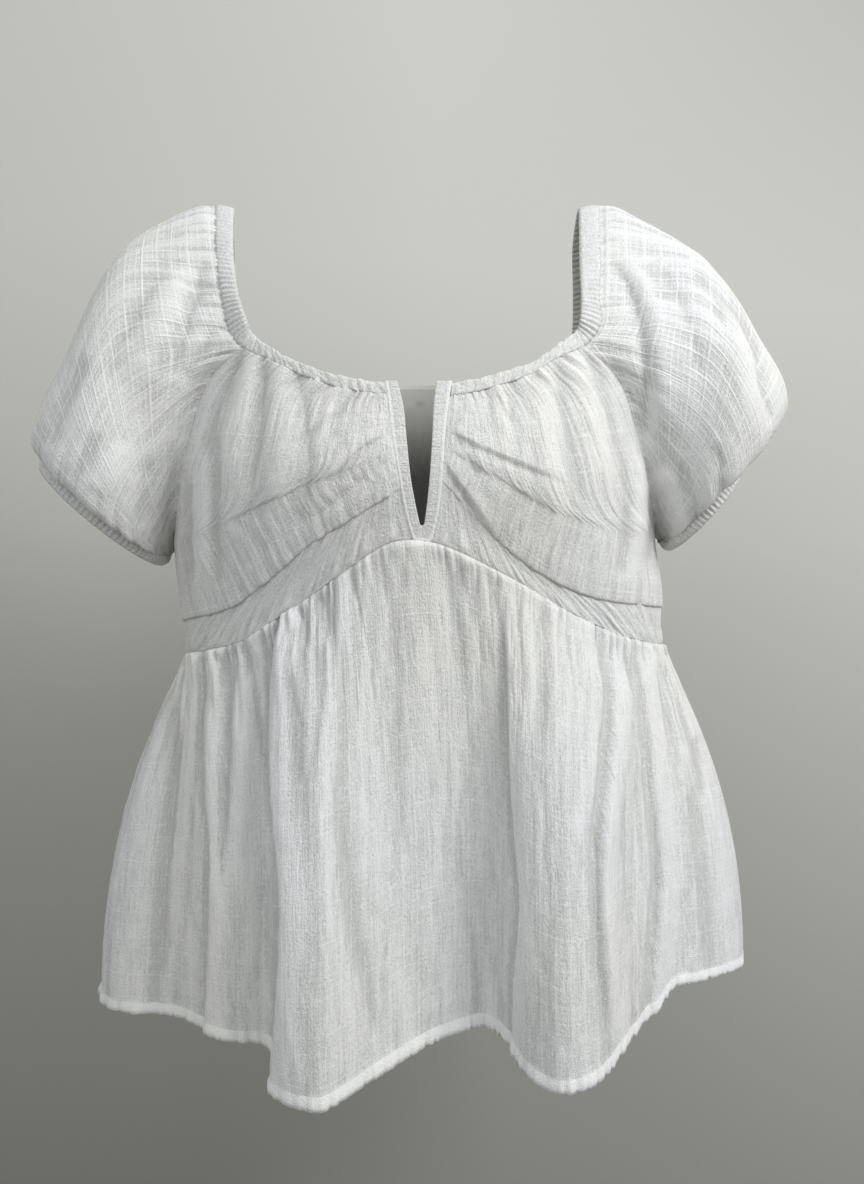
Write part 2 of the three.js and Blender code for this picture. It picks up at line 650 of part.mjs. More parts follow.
// Casing that draws the end of a sleeve in.
function cuff(side) {
  const ring = SLEEVE[sideName(side)].at(-1);
  const turns = sleeveMouth(side).map((station) => station.turn);
  const top = new THREE.Vector3(ring.topX, 0, ring.topZ);
  const front = new THREE.Vector3(ring.frontX, ring.frontY, ring.frontZ);
  const axis = top.clone().cross(front).normalize();
  if (axis.z > 0) axis.negate();
  const turnAt = (u) => turns[Math.round((side < 0 ? u : 1 - u) * turns.length) % turns.length];
  const point = (u, v) => ringPoint(ring, turnAt(u)).addScaledVector(axis, 2 * SEAM_GAP + CUFF_WIDTH * v);
  const middle = new THREE.Vector3(ring.x, 0, ring.z);
  const outward = (u) => ringPoint(ring, turnAt(u)).sub(middle).normalize();
  return wall(turns.length, 1, true, point, CASING, outward);
}

// Point of the skirt: each column falls from the seam to its place on the hem.
function skirtPoint(at, v) {
  const row = ringRow(at);
  const wrapped = row.seam > 270 ? row.seam - 360 : Math.max(row.seam, -90);
  const top = torsoPoint(wrapped, seamHeight(wrapped));
  const spread = 1 - (1 - v) ** FLARE;
  return new THREE.Vector3(mix(top.x, row.x, spread), mix(top.y, row.y, spread), mix(top.z, row.z, v));
}

// Skirt panel between two rows of the ring.
function skirt(from, to) {
  const besides = 0.25;
  const beyond = 0.1;
  const normal = (u, v) => {
    const at = mix(from, to, u);
    const across = skirtPoint(at + besides, v).sub(skirtPoint(at - besides, v));
    const lower = skirtPoint(at, Math.min(v + beyond, 1));
    const down = lower.sub(skirtPoint(at, Math.max(v - beyond, 0)));
    return down.cross(across).normalize();
  };
  const point = (u, v) => skirtPoint(mix(from, to, u), v);
  return wall((to - from) * 2, SKIRT_ROWS, false, point, CLOTH, normal);
}

const blouse = new THREE.Group();

function add(name, geometry, finish) {
  const mesh = new THREE.Mesh(geometry, new THREE.MeshStandardMaterial(finish));
  mesh.name = name;
  blouse.add(mesh);
}

add("neck_casing", neckCasing(), GAUZE_DOUBLE);
add("notch_band", notchBand(), GAUZE_DOUBLE);
for (const side of [-1, 1]) {
  const name = sideName(side);
  add("bust_" + name, bustPanel(side), GAUZE);
  add("midriff_" + name, midriffBand(side), GAUZE);
  add("sleeve_" + name, sleeve(side), GAUZE);
  add("cuff_" + name, cuff(side), GAUZE_DOUBLE);
}
add("back_bodice", backBodice(), GAUZE);
add("skirt_front", skirt(0, HEM_FRONT.length - 1), GAUZE);
add("skirt_back", skirt(HEM_FRONT.length - 1, HEM_RING.length), GAUZE);

export default blouse;
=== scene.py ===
"""Peasant blouse in crinkled cotton gauze: an elastic neck casing with a V notch, a bloused bust, balloon
sleeves drawn in by narrow cuffs, and a skirt gathered onto a raised waist seam. Tables are in millimetres."""
import math
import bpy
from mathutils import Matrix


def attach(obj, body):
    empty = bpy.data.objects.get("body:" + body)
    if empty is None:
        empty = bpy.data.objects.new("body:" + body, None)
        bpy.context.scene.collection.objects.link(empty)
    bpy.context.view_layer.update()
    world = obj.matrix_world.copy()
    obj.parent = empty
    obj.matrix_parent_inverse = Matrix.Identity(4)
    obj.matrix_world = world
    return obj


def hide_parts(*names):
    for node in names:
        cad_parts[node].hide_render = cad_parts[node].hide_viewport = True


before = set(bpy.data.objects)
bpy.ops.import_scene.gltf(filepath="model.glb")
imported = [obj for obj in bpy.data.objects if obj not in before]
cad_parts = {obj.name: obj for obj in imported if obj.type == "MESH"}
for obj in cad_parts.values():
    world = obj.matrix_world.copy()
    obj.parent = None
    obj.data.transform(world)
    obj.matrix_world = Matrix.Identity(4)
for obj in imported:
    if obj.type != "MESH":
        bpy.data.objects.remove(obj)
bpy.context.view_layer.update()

from types import SimpleNamespace

import bmesh
import bpy
import numpy as np
from bpy.props import FloatProperty, FloatVectorProperty, PointerProperty
from mathutils import Matrix, Vector

bl_info = {
    "name": "Peasant Blouse",
    "version": (1, 0, 0),
    "blender": (4, 5, 0),
    "location": "3D View > Sidebar > Blouse",
    "description": "Makes the sewn pieces of a peasant blouse in crinkled cotton gauze, and its studio",
    "category": "Add Mesh",
}

MM = 0.001
BODY = math.nan  # a depth to be taken from the body of the blouse

TORSO = np.array([  # z, centre, side, front, back
    (-70, -6.5, 146, 84, 84),
    (-105, -6.5, 153, 97, 90),
    (-140, -6.5, 156, 105, 93),
    (-185, -6.5, 158, 110, 94),
    (-225, -6, 158, 103, 92),
    (-262, -2, 158, 95, 89),
    (-300, 0, 156, 91, 87),
], float)
EMPIRE_SEAM = np.array([  # angle, z
    (-90, -298),
    (-48, -288),
    (-31, -269),
    (-14, -242),
    (-6, -229),
    (0, -226),
    (7, -230),
    (19, -246),
    (36, -270),
    (56, -285),
    (90, -291),
    (135, -296),
    (180, -298),
    (225, -299),
    (270, -298),
], float)
BAND_LINE_LEFT = np.array([  # angle, z
    (-3, -194),
    (-12, -209),
    (-23, -226),
    (-37, -250),
    (-52, -265),
    (-90, -273),
], float)
BAND_LINE_RIGHT = np.array([  # angle, z
    (6, -189),
    (14, -213),
    (26, -240),
    (41, -256),
    (63, -261),
    (90, -263),
], float)
ARMHOLE = np.array([  # angle, z
    (51, -122),
    (56.5, -135),
    (61, -155),
    (66, -177),
    (71, -202),
    (79, -217),
    (90, -226),
], float)
NOTCH = np.array([  # z, leftOuter, leftOpen, rightOpen, rightOuter
    (-135, -21.5, -15, 7.3, 16),
    (-150, -19.5, -11.3, 5.9, 13.6),
    (-170, -17, -9.3, 5, 11.8),
    (-190, -13.6, -7.2, 3.7, 10.6),
    (-205, -11.2, -4.6, 2.2, 9),
    (-216, -8.6, -2.2, 0.7, 7),
], float)
NOTCH_FOOT, NOTCH_FOOT_Z = {-1: -5, 1: 4}, -225.6  # the band's outer edges at its foot
NECK_LEFT = np.array([  # x, y, z, sewnX, sewnY, sewnZ
    (-21.8, BODY, -135.6, -21.2, BODY, -143),
    (-36, BODY, -134, -35, BODY, -141.5),
    (-52, BODY, -130, -50, BODY, -138),
    (-75, BODY, -121, -72.5, BODY, -129),
    (-91, BODY, -111, -90, BODY, -119.5),
    (-102, BODY, -101.5, -108, BODY, -110),
    (-106.5, -73, -92, -118, -66, -97),
    (-112.5, -65, -74.5, -124, -60, -74),
    (-118, -49, -49, -130, -46, -46),
    (-122.5, -25, -20, -135, -23, -17),
    (-126.5, 0, -3, -139, 0, -0.8),
    (-130.5, 25, -20, -143, 23, -17),
    (-132, 46, -49, -144.5, 43, -46),
    (-124, 61, -75, -136, 56, -77),
    (-108, BODY, -97, -117, BODY, -106),
], float)
NECK_BACK = np.array([  # x, y, z, sewnX, sewnY, sewnZ
    (-80, BODY, -101, -82, BODY, -113),
    (-42, BODY, -102, -42, BODY, -114),
    (-6, BODY, -102, -6, BODY, -114),
    (32, BODY, -102, 32, BODY, -114),
    (70, BODY, -100.5, 71, BODY, -112.5),
], float)
NECK_RIGHT = np.array([  # x, y, z, sewnX, sewnY, sewnZ
    (98, BODY, -97, 106, BODY, -106),
    (105, 62, -75, 117, 57, -77),
    (104.5, 47, -49, 117.5, 44, -46),
    (101.5, 25, -20, 115, 23, -17),
    (102, 0, -3, 115.5, 0, -0.5),
    (99, -28, -24, 112.5, -25, -20),
    (96.5, -50, -53, 110, -47, -50),
    (95.4, -65, -75, 107.5, -60, -75),
    (94, -73, -91, 106.5, -68, -95),
    (91, BODY, -99.5, 97, BODY, -108),
    (79.5, BODY, -109, 79, BODY, -118),
    (65, BODY, -120.5, 63.5, BODY, -128.5),
    (48.5, BODY, -127.5, 47.5, BODY, -135.5),
    (32.5, BODY, -132.5, 32, BODY, -140.5),
    (16.3, BODY, -136.5, 15.8, BODY, -144),
], float)
SLEEVE_LEFT = np.array([  # x, z, topX, topZ, frontX, frontY, frontZ
    (-179.5, -127.3, -13.5, 100.3, 0, -68, -2),
    (-198.8, -161.7, -31.3, 67.7, -2, -73, -8),
    (-212.5, -191, -43.5, 40, 2, -66, -8),
    (-209, -198.5, -39, 33, 3, -50, -5),
], float)
SLEEVE_RIGHT = np.array([  # x, z, topX, topZ, frontX, frontY, frontZ
    (166, -126.5, 11.8, 93.5, 0, -67, 0),
    (186, -152.7, 30, 68.7, 0, -72, -4),
    (197, -176.3, 41, 47, -3, -62, -6),
    (180, -197, 22.5, 25.5, -3, -46, -3),
], float)
HEM_FRONT = np.array([  # x, y, z, seam
    (-213, 0, -518, -90),
    (-198, -36, -520, -80),
    (-150, -62, -515, -66),
    (-116, -92, -517, -52),
    (-91, -91, -521, -37),
    (-83, -120, -537, -30),
    (-57, -134, -540, -22),
    (-30, -110, -534, -14),
    (-13, -98, -527, -7),
    (18, -82, -518, 5),
    (39, -80, -515, 14),
    (54, -98, -524, 20),
    (61, -113, -531, 25),
    (79, -124, -535, 32),
    (101, -116, -529, 39),
    (113, -100, -520, 46),
    (127, -86, -513, 54),
    (150, -66, -496, 65),
    (180, -50, -496, 76),
    (212, 0, -502, 90),
], float)
HEM_BACK = np.array([  # x, y, z, seam
    (203, 44, -508, 104),
    (176, 74, -512, 117),
    (142, 94, -514, 129),
    (113, 126, -518, 141),
    (82, 132, -519, 152),
    (52, 116, -517, 162),
    (22, 124, -519, 172),
    (-8, 142, -521, 181),
    (-38, 131, -519, 191),
    (-66, 117, -518, 201),
    (-97, 128, -520, 212),
    (-126, 120, -519, 223),
    (-152, 90, -516, 235),
    (-186, 74, -518, 247),
    (-208, 38, -519, 259),
], float)

HEM_RING = np.vstack([HEM_FRONT, HEM_BACK])
SHOULDER_PUFF = 12  # how far a sleeve stands straight out of the strap before it falls
RIGHT_LIFT = 7  # how much higher the +X underarm hangs
LAP = 6  # how far the bust panel hangs over the midriff band
BUST_EASE = 9  # how far the gathered bust panel puffs out from the body
FLARE = 2.2  # how soon the skirt reaches its hem width: 1 is a straight cone
CUFF_WIDTH = 8
SIDE_SEAM = 89.9  # angle of the side seams of the midriff, just short of the back
SLEEVE_PLACES = (0, 0.07, 0.42, 0.68, 0.89, 1)  # where the rings of a sleeve lie along its length
CASING_TUCK = 10  # how far the back bodice runs up inside the neck casing
EYE_DISTANCE, EYE_X, EYE_Z = 750, 5, -256  # the front stand, from which the fold lines are laid out
LENS, SENSOR = 34.29, 36  # of the camera on that stand

# Listed folds: kind, height, width, and the line of each as seen from the front stand.
# A trough sinks and a ridge rises. The others drop at the line: a "lip" rises above it, and a "left" or
# "right" rises on that side of it.
BUST_FOLDS = [
    ("lip", 1.4, 7, [(-24, -150), (-42, -158), (-56, -171), (-67, -186)]),
    ("lip", 1.2, 7, [(-42, -116), (-56, -130), (-67, -140), (-94, -156)]),
    ("trough", 1.0, 5, [(-19, -165), (-38, -178), (-63, -199), (-88, -215)]),
    ("lip", 1.5, 7, [(16, -146), (37, -158), (65, -170), (104, -186)]),
    ("trough", 1.2, 4, [(20, -150), (28, -166), (37, -183)]),
    ("lip", 1.3, 6, [(12, -166), (29, -190), (50, -221)]),
    ("trough", 1.0, 4, [(14, -175), (33, -204), (45, -221)]),
    ("trough", 2.0, 6, [(-116, -84), (-128, -110), (-140, -142), (-145, -175)]),
    ("ridge", 2.0, 7, [(-112, -84), (-119, -115), (-128, -155), (-133, -195)]),
    ("trough", 1.8, 6, [(-108, -87), (-108, -122), (-112, -162), (-120, -221)]),
    ("ridge", 1.7, 8, [(-100, -92), (-96, -128), (-96, -175), (-103, -227)]),
    ("trough", 1.4, 6, [(-88, -99), (-80, -135), (-77, -175), (-83, -215)]),
    ("trough", 2.2, 5, [(-135, -148), (-140, -188), (-139, -228), (-135, -255)]),
    ("ridge", 1.8, 6, [(-145, -155), (-149, -195), (-148, -235), (-145, -259)]),
    ("trough", 1.8, 5, [(-156, -175), (-157, -215), (-155, -255)]),
    ("trough", 2.0, 6, [(101, -80), (114, -106), (125, -139), (130, -175)]),
    ("ridge", 2.0, 7, [(97, -82), (105, -118), (115, -155), (121, -195)]),
    ("trough", 1.8, 6, [(90, -86), (91, -122), (98, -162), (109, -215)]),
    ("ridge", 1.7, 8, [(81, -91), (79, -128), (85, -175), (94, -227)]),
    ("trough", 1.0, 6, [(64, -99), (58, -128), (61, -155)]),
    ("trough", 2.2, 5, [(131, -148), (135, -188), (134, -228), (129, -251)]),
    ("ridge", 1.8, 6, [(143, -162), (145, -195), (142, -235)]),
    ("trough", 1.7, 5, [(150, -182), (151, -215), (149, -251)]),
    ("trough", 0.8, 5, [(-53, -110), (-58, -135), (-63, -162)]),
    ("trough", 0.8, 5, [(41, -110), (44, -135), (50, -155)]),
]
SLEEVE_FOLDS = [
    ("trough", 3.0, 9, [(-146, -34), (-155, -62), (-163, -88), (-173, -118)]),
    ("trough", 2.4, 8, [(-141, -79), (-149, -96), (-163, -118)]),
    ("ridge", 2.2, 10, [(-159, -34), (-171, -62), (-183, -91), (-191, -122)]),
    ("trough", 2.0, 9, [(-169, -37), (-188, -62), (-204, -92), (-213, -123)]),
    ("trough", 2.4, 8, [(-224, -96), (-234, -116), (-245, -142), (-250, -163)]),
    ("ridge", 2.0, 9, [(-198, -155), (-209, -175), (-221, -191)]),
    ("trough", 1.9, 8, [(-183, -162), (-185, -188), (-189, -215)]),
    ("trough", 1.7, 6, [(-165, -155), (-168, -188), (-171, -221)]),
    ("trough", 1.7, 6, [(-217, -148), (-226, -168), (-238, -183)]),
    ("trough", 3.5, 5, [(206, -66), (222, -98), (226, -120), (232, -146)]),
    ("ridge", 2.4, 9, [(198, -66), (211, -96), (216, -123), (220, -155)]),
    ("trough", 3.3, 6, [(119, -32), (130, -42), (141, -66), (146, -94), (147, -132), (145, -160)]),
    ("ridge", 2.4, 8, [(127, -33), (143, -51), (154, -79), (158, -122), (157, -155)]),
    ("trough", 2.0, 9, [(149, -33), (167, -56), (179, -86), (185, -122)]),
    ("trough", 1.9, 9, [(177, -37), (194, -62), (203, -95)]),
    ("trough", 2.6, 6, [(167, -166), (177, -195), (183, -215)]),
    ("ridge", 2.0, 8, [(158, -168), (165, -195), (169, -221)]),
    ("trough", 1.9, 6, [(194, -155), (198, -182), (201, -201)]),
]
SKIRT_FOLDS = [
    ("right", 7.5, 13, [
        (-92, -261), (-93, -273), (-98, -315), (-98, -354), (-97, -408),
        (-93, -461), (-95, -514), (-101, -587), (-104, -627),
    ]),
    ("trough", 3.0, 10, [
        (-50, -255), (-54, -315), (-55, -368), (-53, -421), (-47, -474), (-36, -527), (-27, -581),
    ]),
    ("right", 5.5, 11, [
        (-148, -276), (-145, -341), (-143, -388), (-140, -434), (-141, -487), (-145, -567), (-147, -600),
    ]),
    ("trough", 3.6, 5, [(-132, -292), (-131, -328), (-133, -394), (-135, -461)]),
    ("right", 4.5, 13, [
        (54, -241), (56, -301), (58, -354), (61, -408), (66, -461), (62, -514), (60, -561), (58, -614),
    ]),
    ("trough", 3.0, 6, [(77, -259), (79, -301), (77, -368)]),
    ("right", 6.5, 12, [
        (125, -255), (127, -321), (122, -381), (117, -434), (119, -487), (124, -547), (126, -600),
    ]),
    ("right", 5.0, 10, [
        (145, -263), (148, -328), (153, -388), (158, -441), (154, -501), (151, -541), (150, -581),
    ]),
    ("trough", 2.8, 5, [(181, -349), (183, -372), (186, -396)]),
    ("ridge", 3.2, 11, [(-123, -301), (-121, -354), (-119, -421), (-117, -487), (-120, -594)]),
    ("trough", 2.0, 14, [(-22, -235), (-20, -288), (-18, -354), (-15, -461)]),
    ("trough", 1.6, 9, [(22, -235), (24, -275), (26, -328)]),
    ("trough", 3.4, 7, [(-164, -321), (-171, -394), (-176, -461), (-183, -567)]),
    ("trough", 3.0, 8, [(177, -381), (186, -448), (194, -554)]),
    ("trough", 2.6, 3, [(-146, -291), (-145, -341), (-144, -394)]),
    ("trough", 2.4, 3, [(-135, -288), (-132, -328), (-129, -381)]),
    ("trough", 2.4, 3, [(-127, -285), (-124, -321), (-121, -354)]),
    ("trough", 2.8, 3, [(-118, -281), (-113, -321), (-105, -381)]),
    ("trough", 2.4, 3, [(-106, -276), (-103, -308), (-101, -341)]),
    ("trough", 2.0, 3, [(-81, -263), (-80, -275), (-79, -295)]),
    ("trough", 2.0, 3, [(-69, -256), (-67, -269), (-66, -292)]),
    ("trough", 2.4, 3, [(117, -257), (118, -288), (119, -315)]),
    ("trough", 2.4, 3, [(133, -263), (135, -295), (138, -328)]),
    ("trough", 2.6, 3, [(150, -269), (155, -315), (162, -354)]),
    ("trough", 1.8, 3, [(100, -251), (101, -263), (101, -277)]),
    ("trough", 2.2, 3, [(141, -267), (144, -285), (146, -305)]),
]


def mix(a, b, share):
    return a + (b - a) * share


def ramp(value, start, end):
    return np.clip((value - start) / (end - start), 0, 1)


def ease(value, start, end):
    share = ramp(value, start, end)
    return share * share * (3 - 2 * share)


def spline(values, t):
    """Smooth value at places t of 0 to 1 along a row of numbers."""
    values = np.asarray(values, float)
    at = np.clip(t, 0, 1) * (len(values) - 1)
    i = np.minimum(np.floor(at).astype(int), len(values) - 2)
    f = at - i
    here, there = values[i], values[i + 1]
    start = (there - values[np.maximum(i - 1, 0)]) / 2
    end = (values[np.minimum(i + 2, len(values) - 1)] - here) / 2
    a = 2 * here - 2 * there + start + end
    b = -3 * here + 3 * there - 2 * start - end
    return ((a * f + b) * f + start) * f + here


def along(table, t):
    """Smooth rows of a table at places t of 0 to 1, one column last."""
    return np.stack([spline(column, t) for column in np.asarray(table, float).T], -1)


def rough(across, down, seed):
    """Smooth unevenness from -1 to 1, with one bump in each unit each way."""
    table = np.random.default_rng(seed).uniform(-1, 1, (128, 128))
    i, j = np.floor(across).astype(int), np.floor(down).astype(int)
    f, g = across - i, down - j
    f, g = f * f * (3 - 2 * f), g * g * (3 - 2 * g)
    i, j = i % 128, j % 128
    near = mix(table[i, j], table[(i + 1) % 128, j], f)
    far = mix(table[i, (j + 1) % 128], table[(i + 1) % 128, (j + 1) % 128], f)
    return mix(near, far, g)


# --- the form of the blouse ---


def torso_size(z):
    """Centre, half width, and depth to the front and back of the body at heights z."""
    row = np.interp(-np.asarray(z, float), -TORSO[:, 0], np.arange(len(TORSO)))
    return [spline(TORSO[:, k], row / (len(TORSO) - 1)) for k in (1, 2, 3, 4)]


def torso_point(angle, z, out=0.0):
    """Points of the body at an angle from the centre front and a height, moved out."""
    centre, side, front, back = torso_size(z)
    turn = np.radians(angle)
    depth = np.where(np.cos(turn) > 0, front, back)
    x = centre + (side + out) * np.sin(turn)
    y = -(depth + out) * np.cos(turn)
    return np.stack(np.broadcast_arrays(x, y, z), -1)


def angle_at(x, z):
    centre, side = torso_size(z)[:2]
    return np.degrees(np.arcsin(np.clip((x - centre) / side, -1, 1)))


def seam_height(angle):
    """Height of the skirt seam at an angle, smooth through the rows of EMPIRE_SEAM."""
    angles, heights = EMPIRE_SEAM.T
    last = len(angles) - 1
    i = np.clip(np.searchsorted(angles, angle, side="left") - 1, 0, last - 1)
    before, after = np.maximum(np.arange(last + 1) - 1, 0), np.minimum(np.arange(last + 1) + 1, last)
    slope = (heights[after] - heights[before]) / (angles[after] - angles[before])
    width = angles[i + 1] - angles[i]
    f = (angle - angles[i]) / width
    bend = width * f * (1 - f) * ((1 - f) * slope[i] - f * slope[i + 1])
    return mix(heights[i], heights[i + 1], f * f * (3 - 2 * f)) + bend


def panel(top, bottom, first, last, u, v):
    """Angles and heights of a panel between four edges, each a function of places along it."""
    edges = [np.array(edge(t)) for edge, t in ((top, u), (bottom, u), (first, v), (last, v))]
    across = mix(edges[2][:, :, None], edges[3][:, :, None], u)
    down = mix(edges[0][:, None, :], edges[1][:, None, :], v[:, None])
    ends = np.array([0.0, 1.0])
    high, low = np.array(top(ends)), np.array(bottom(ends))
    corners = mix(
        mix(high[:, :1, None], high[:, 1:, None], u),
        mix(low[:, :1, None], low[:, 1:, None], u),
        v[:, None],
    )
    return across + down - corners


BACK_START = len(NECK_LEFT) - 1
BACK_END = len(NECK_LEFT) + len(NECK_BACK)


def casing_rows():
    """The neck casing's rows with their depths filled in from the body."""
    rows = np.vstack([NECK_LEFT, NECK_BACK, NECK_RIGHT])
    for index, row in enumerate(rows):
        for x, y, z in ((0, 1, 2), (3, 4, 5)):
            if math.isnan(row[y]):
                angle = angle_at(row[x], row[z])
                if BACK_START <= index <= BACK_END:
                    angle = 180 - angle
                row[y] = torso_point(angle, row[z])[1]
    return rows


CASING_ROWS = casing_rows()
CASING_LAST = len(CASING_ROWS) - 1
CORNER = {-1: 5, 1: CASING_LAST - 5}  # rows of the front neck corners
CREST = {-1: 10, 1: CASING_LAST - 10}  # rows of the strap crests
BACK_CORNER = {-1: BACK_START, 1: BACK_END}


def casing_at(row):
    return along(CASING_ROWS, np.asarray(row) / CASING_LAST)


def neck_length(row):
    """Distance round the sewn edge of the casing, in millimetres."""
    places = np.linspace(0, CASING_LAST, 35 * 12)
    line = casing_at(places)[:, 3:]
    steps = np.linalg.norm(np.diff(line, axis=0), axis=1)
    return np.interp(row, places, np.concatenate([[0], np.cumsum(steps)]))


def neck_edge(start, end, at_back):
    def edge(t):
        row = casing_at(mix(start, end, t))
        angle = angle_at(row[:, 3], row[:, 5])
        return [180 - angle if at_back else angle, row[:, 5]]

    return edge


def notch_edge(side, top, bottom):
    column = 1 if side < 0 else 4
    heights = np.append(NOTCH[:, 0], NOTCH_FOOT_Z)
    places = np.append(NOTCH[:, column], NOTCH_FOOT[side])

    def edge(t):
        z = mix(top, bottom, t)
        return [angle_at(np.interp(-z, -heights, places), z), z]

    return edge


def raglan_seam(side, at_back):
    corner = np.array(neck_edge(0, (BACK_CORNER if at_back else CORNER)[side], False)(np.array([1.0])))[:, 0]
    rows = ARMHOLE.copy()
    if side > 0:
        rows[:, 1] += RIGHT_LIFT * np.arange(1, len(rows) + 1) / len(rows)
    return np.vstack([[abs(corner[0]), corner[1]], rows])


def outer_edge(side, foot, steps, at_back):
    seam = raglan_seam(side, at_back)
    length = len(seam) - 1

    def edge(t):
        at = t * (length + steps)
        row = along(seam, np.minimum(at / length, 1))
        angle = 180 - row[:, 0] if at_back else row[:, 0]
        return [side * angle, mix(row[:, 1], foot, np.maximum(at - length, 0) / steps)]

    return edge


def sleeve_mouth(side, turn):
    """Points of the raglan seam and strap, by share of a turn from the crest by the front."""
    points = np.zeros((len(turn), 3))
    quarter = np.minimum((turn * 4).astype(int), 3)
    share = turn * 4 - quarter
    for which, (start, end) in {0: (CREST[side], CORNER[side]), 3: (BACK_CORNER[side], CREST[side])}.items():
        here = quarter == which
        points[here] = casing_at(mix(start, end, share[here]))[:, 3:]
    for which, at_back in {1: False, 2: True}.items():
        here = quarter == which
        row = along(raglan_seam(side, at_back), 1 - share[here] if at_back else share[here])
        points[here] = torso_point(side * (180 - row[:, 0] if at_back else row[:, 0]), row[:, 1])
    return points


def ring_points(ring, turn):
    top, front = np.cos(turn * 2 * np.pi), np.sin(turn * 2 * np.pi)
    x = ring[0] + ring[2] * top + ring[4] * front
    return np.stack([x, ring[5] * front, ring[1] + ring[3] * top + ring[6] * front], -1)


def centripetal(points, t):
    """Places t of 0 to 1 on centripetal curves through points, which lie along the first axis."""
    points = np.concatenate([[2 * points[0] - points[1]], points, [2 * points[-1] - points[-2]]])
    at = np.clip(t, 0, 1) * (len(points) - 3)
    first = np.minimum(at.astype(int), len(points) - 4)
    out = []
    for place, i in zip(at - first, first):
        four = points[i : i + 4]
        gaps = np.maximum(np.linalg.norm(np.diff(four, axis=0), axis=-1, keepdims=True) ** 0.5, 1e-4)
        before, here, after = gaps
        steps = np.diff(four, axis=0)
        middle = steps[1] / here
        start = steps[0] / before - (four[2] - four[0]) / (before + here) + middle
        end = middle - (four[3] - four[1]) / (here + after) + steps[2] / after
        start, end = start * here, end * here
        a = 2 * four[1] - 2 * four[2] + start + end
        b = -3 * four[1] + 3 * four[2] - 2 * start - end
        out.append(((a * place + b) * place + start) * place + four[1])
    return np.array(out)


def ring_row(at):
    """Smooth rows of the skirt's ring at places counted in rows from the -X side seam."""
    count = len(HEM_RING)
    index = np.floor(at).astype(int)
    f = at - index
    four = []
    for k in (-1, 0, 1, 2):
        turns = np.floor_divide(index + k, count)
        row = HEM_RING[(index + k) % count].copy()
        row[:, 3] += 360 * turns
        four.append(row)
    start, end = (four[2] - four[0]) / 2, (four[3] - four[1]) / 2
    f = f[:, None]
    a = 2 * four[1] - 2 * four[2] + start + end
    b = -3 * four[1] + 3 * four[2] - 2 * start - end
    return ((a * f + b) * f + start) * f + four[1]


def skirt_points(at, v):
    row = ring_row(at)
    seam = np.where(row[:, 3] > 270, row[:, 3] - 360, np.maximum(row[:, 3], -90))
    top = torso_point(seam, seam_height(seam))
    spread = 1 - (1 - v) ** FLARE
    x = mix(top[:, 0], row[:, 0], spread)
    y = mix(top[:, 1], row[:, 1], spread)
    return np.stack([x, y, mix(top[:, 2], row[:, 2], v)], -1), row[:, 3]


# --- folds, gathers and crinkle ---


def outward(points, closed=False):
    """Outward directions over a grid. Its rows run down, and its columns to the right, seen from outside."""
    down = np.gradient(points, axis=0)
    if closed:
        loop = np.concatenate([points[:, -2:-1], points, points[:, 1:2]], 1)
        across = (loop[:, 2:] - loop[:, :-2]) / 2
    else:
        across = np.gradient(points, axis=1)
    normal = np.cross(down, across)
    return normal / np.maximum(np.linalg.norm(normal, axis=-1, keepdims=True), 1e-9)


def lengths(points, axis):
    """Mean distance from the first row or column to each other one, in millimetres."""
    steps = np.linalg.norm(np.diff(points, axis=axis), axis=-1)
    return np.concatenate([[0], np.cumsum(steps.mean(1 - axis))])


def seen(points):
    """Where points lie on the upright plane through the origin, as seen from the front stand."""
    scale = EYE_DISTANCE / (EYE_DISTANCE + points[..., 1])
    return EYE_X + (points[..., 0] - EYE_X) * scale, EYE_Z + (points[..., 2] - EYE_Z) * scale


def folds(points, table, front):
    """Height of the listed folds at each point. front is 1 where a point is on the front."""
    across, up = seen(points)
    height = np.zeros(across.shape)
    for kind, size, width, line in table:
        path = along(line, np.linspace(0, 1, 18))
        reach = 3 * width
        near = (across > path[:, 0].min() - reach) & (across < path[:, 0].max() + reach)
        near &= (up > path[:, 1].min() - reach) & (up < path[:, 1].max() + reach) & (front > 0)
        if not near.any():
            continue
        x, z = across[near], up[near]
        best, side, share = np.full(x.shape, 1e9), np.zeros(x.shape), np.zeros(x.shape)
        for k, (a, b) in enumerate(zip(path[:-1], path[1:])):
            step = b - a
            place = np.clip(((x - a[0]) * step[0] + (z - a[1]) * step[1]) / (step @ step), 0, 1)
            off_x, off_z = x - a[0] - place * step[0], z - a[1] - place * step[1]
            off = np.hypot(off_x, off_z)
            closer = off < best
            best = np.where(closer, off, best)
            side = np.where(closer, {"left": -off_x, "right": off_x}.get(kind, off_z), side)
            share = np.where(closer, (k + place) / (len(path) - 1), share)
        fade = ease(share, 0, 0.28) * ease(1 - share, 0, 0.3)
        wobble = 1 + 0.25 * rough(share * 7, np.full(share.shape, size * 9 + width), 5)
        form = np.exp(-((best / width) ** 2))
        if kind == "trough":
            form = -0.45 * form - 0.75 * np.exp(-np.sqrt(best**2 + 1.0) / (0.42 * width))
        elif kind != "ridge":
            under = np.exp(-((best / 1.7) ** 2)) - 0.6 * np.exp(-(((best - 4) / 3.2) ** 2))
            form = 0.7 * np.where(side > 0, form, under)
        height[near] += size * wobble * fade * form * front[near]
    return height


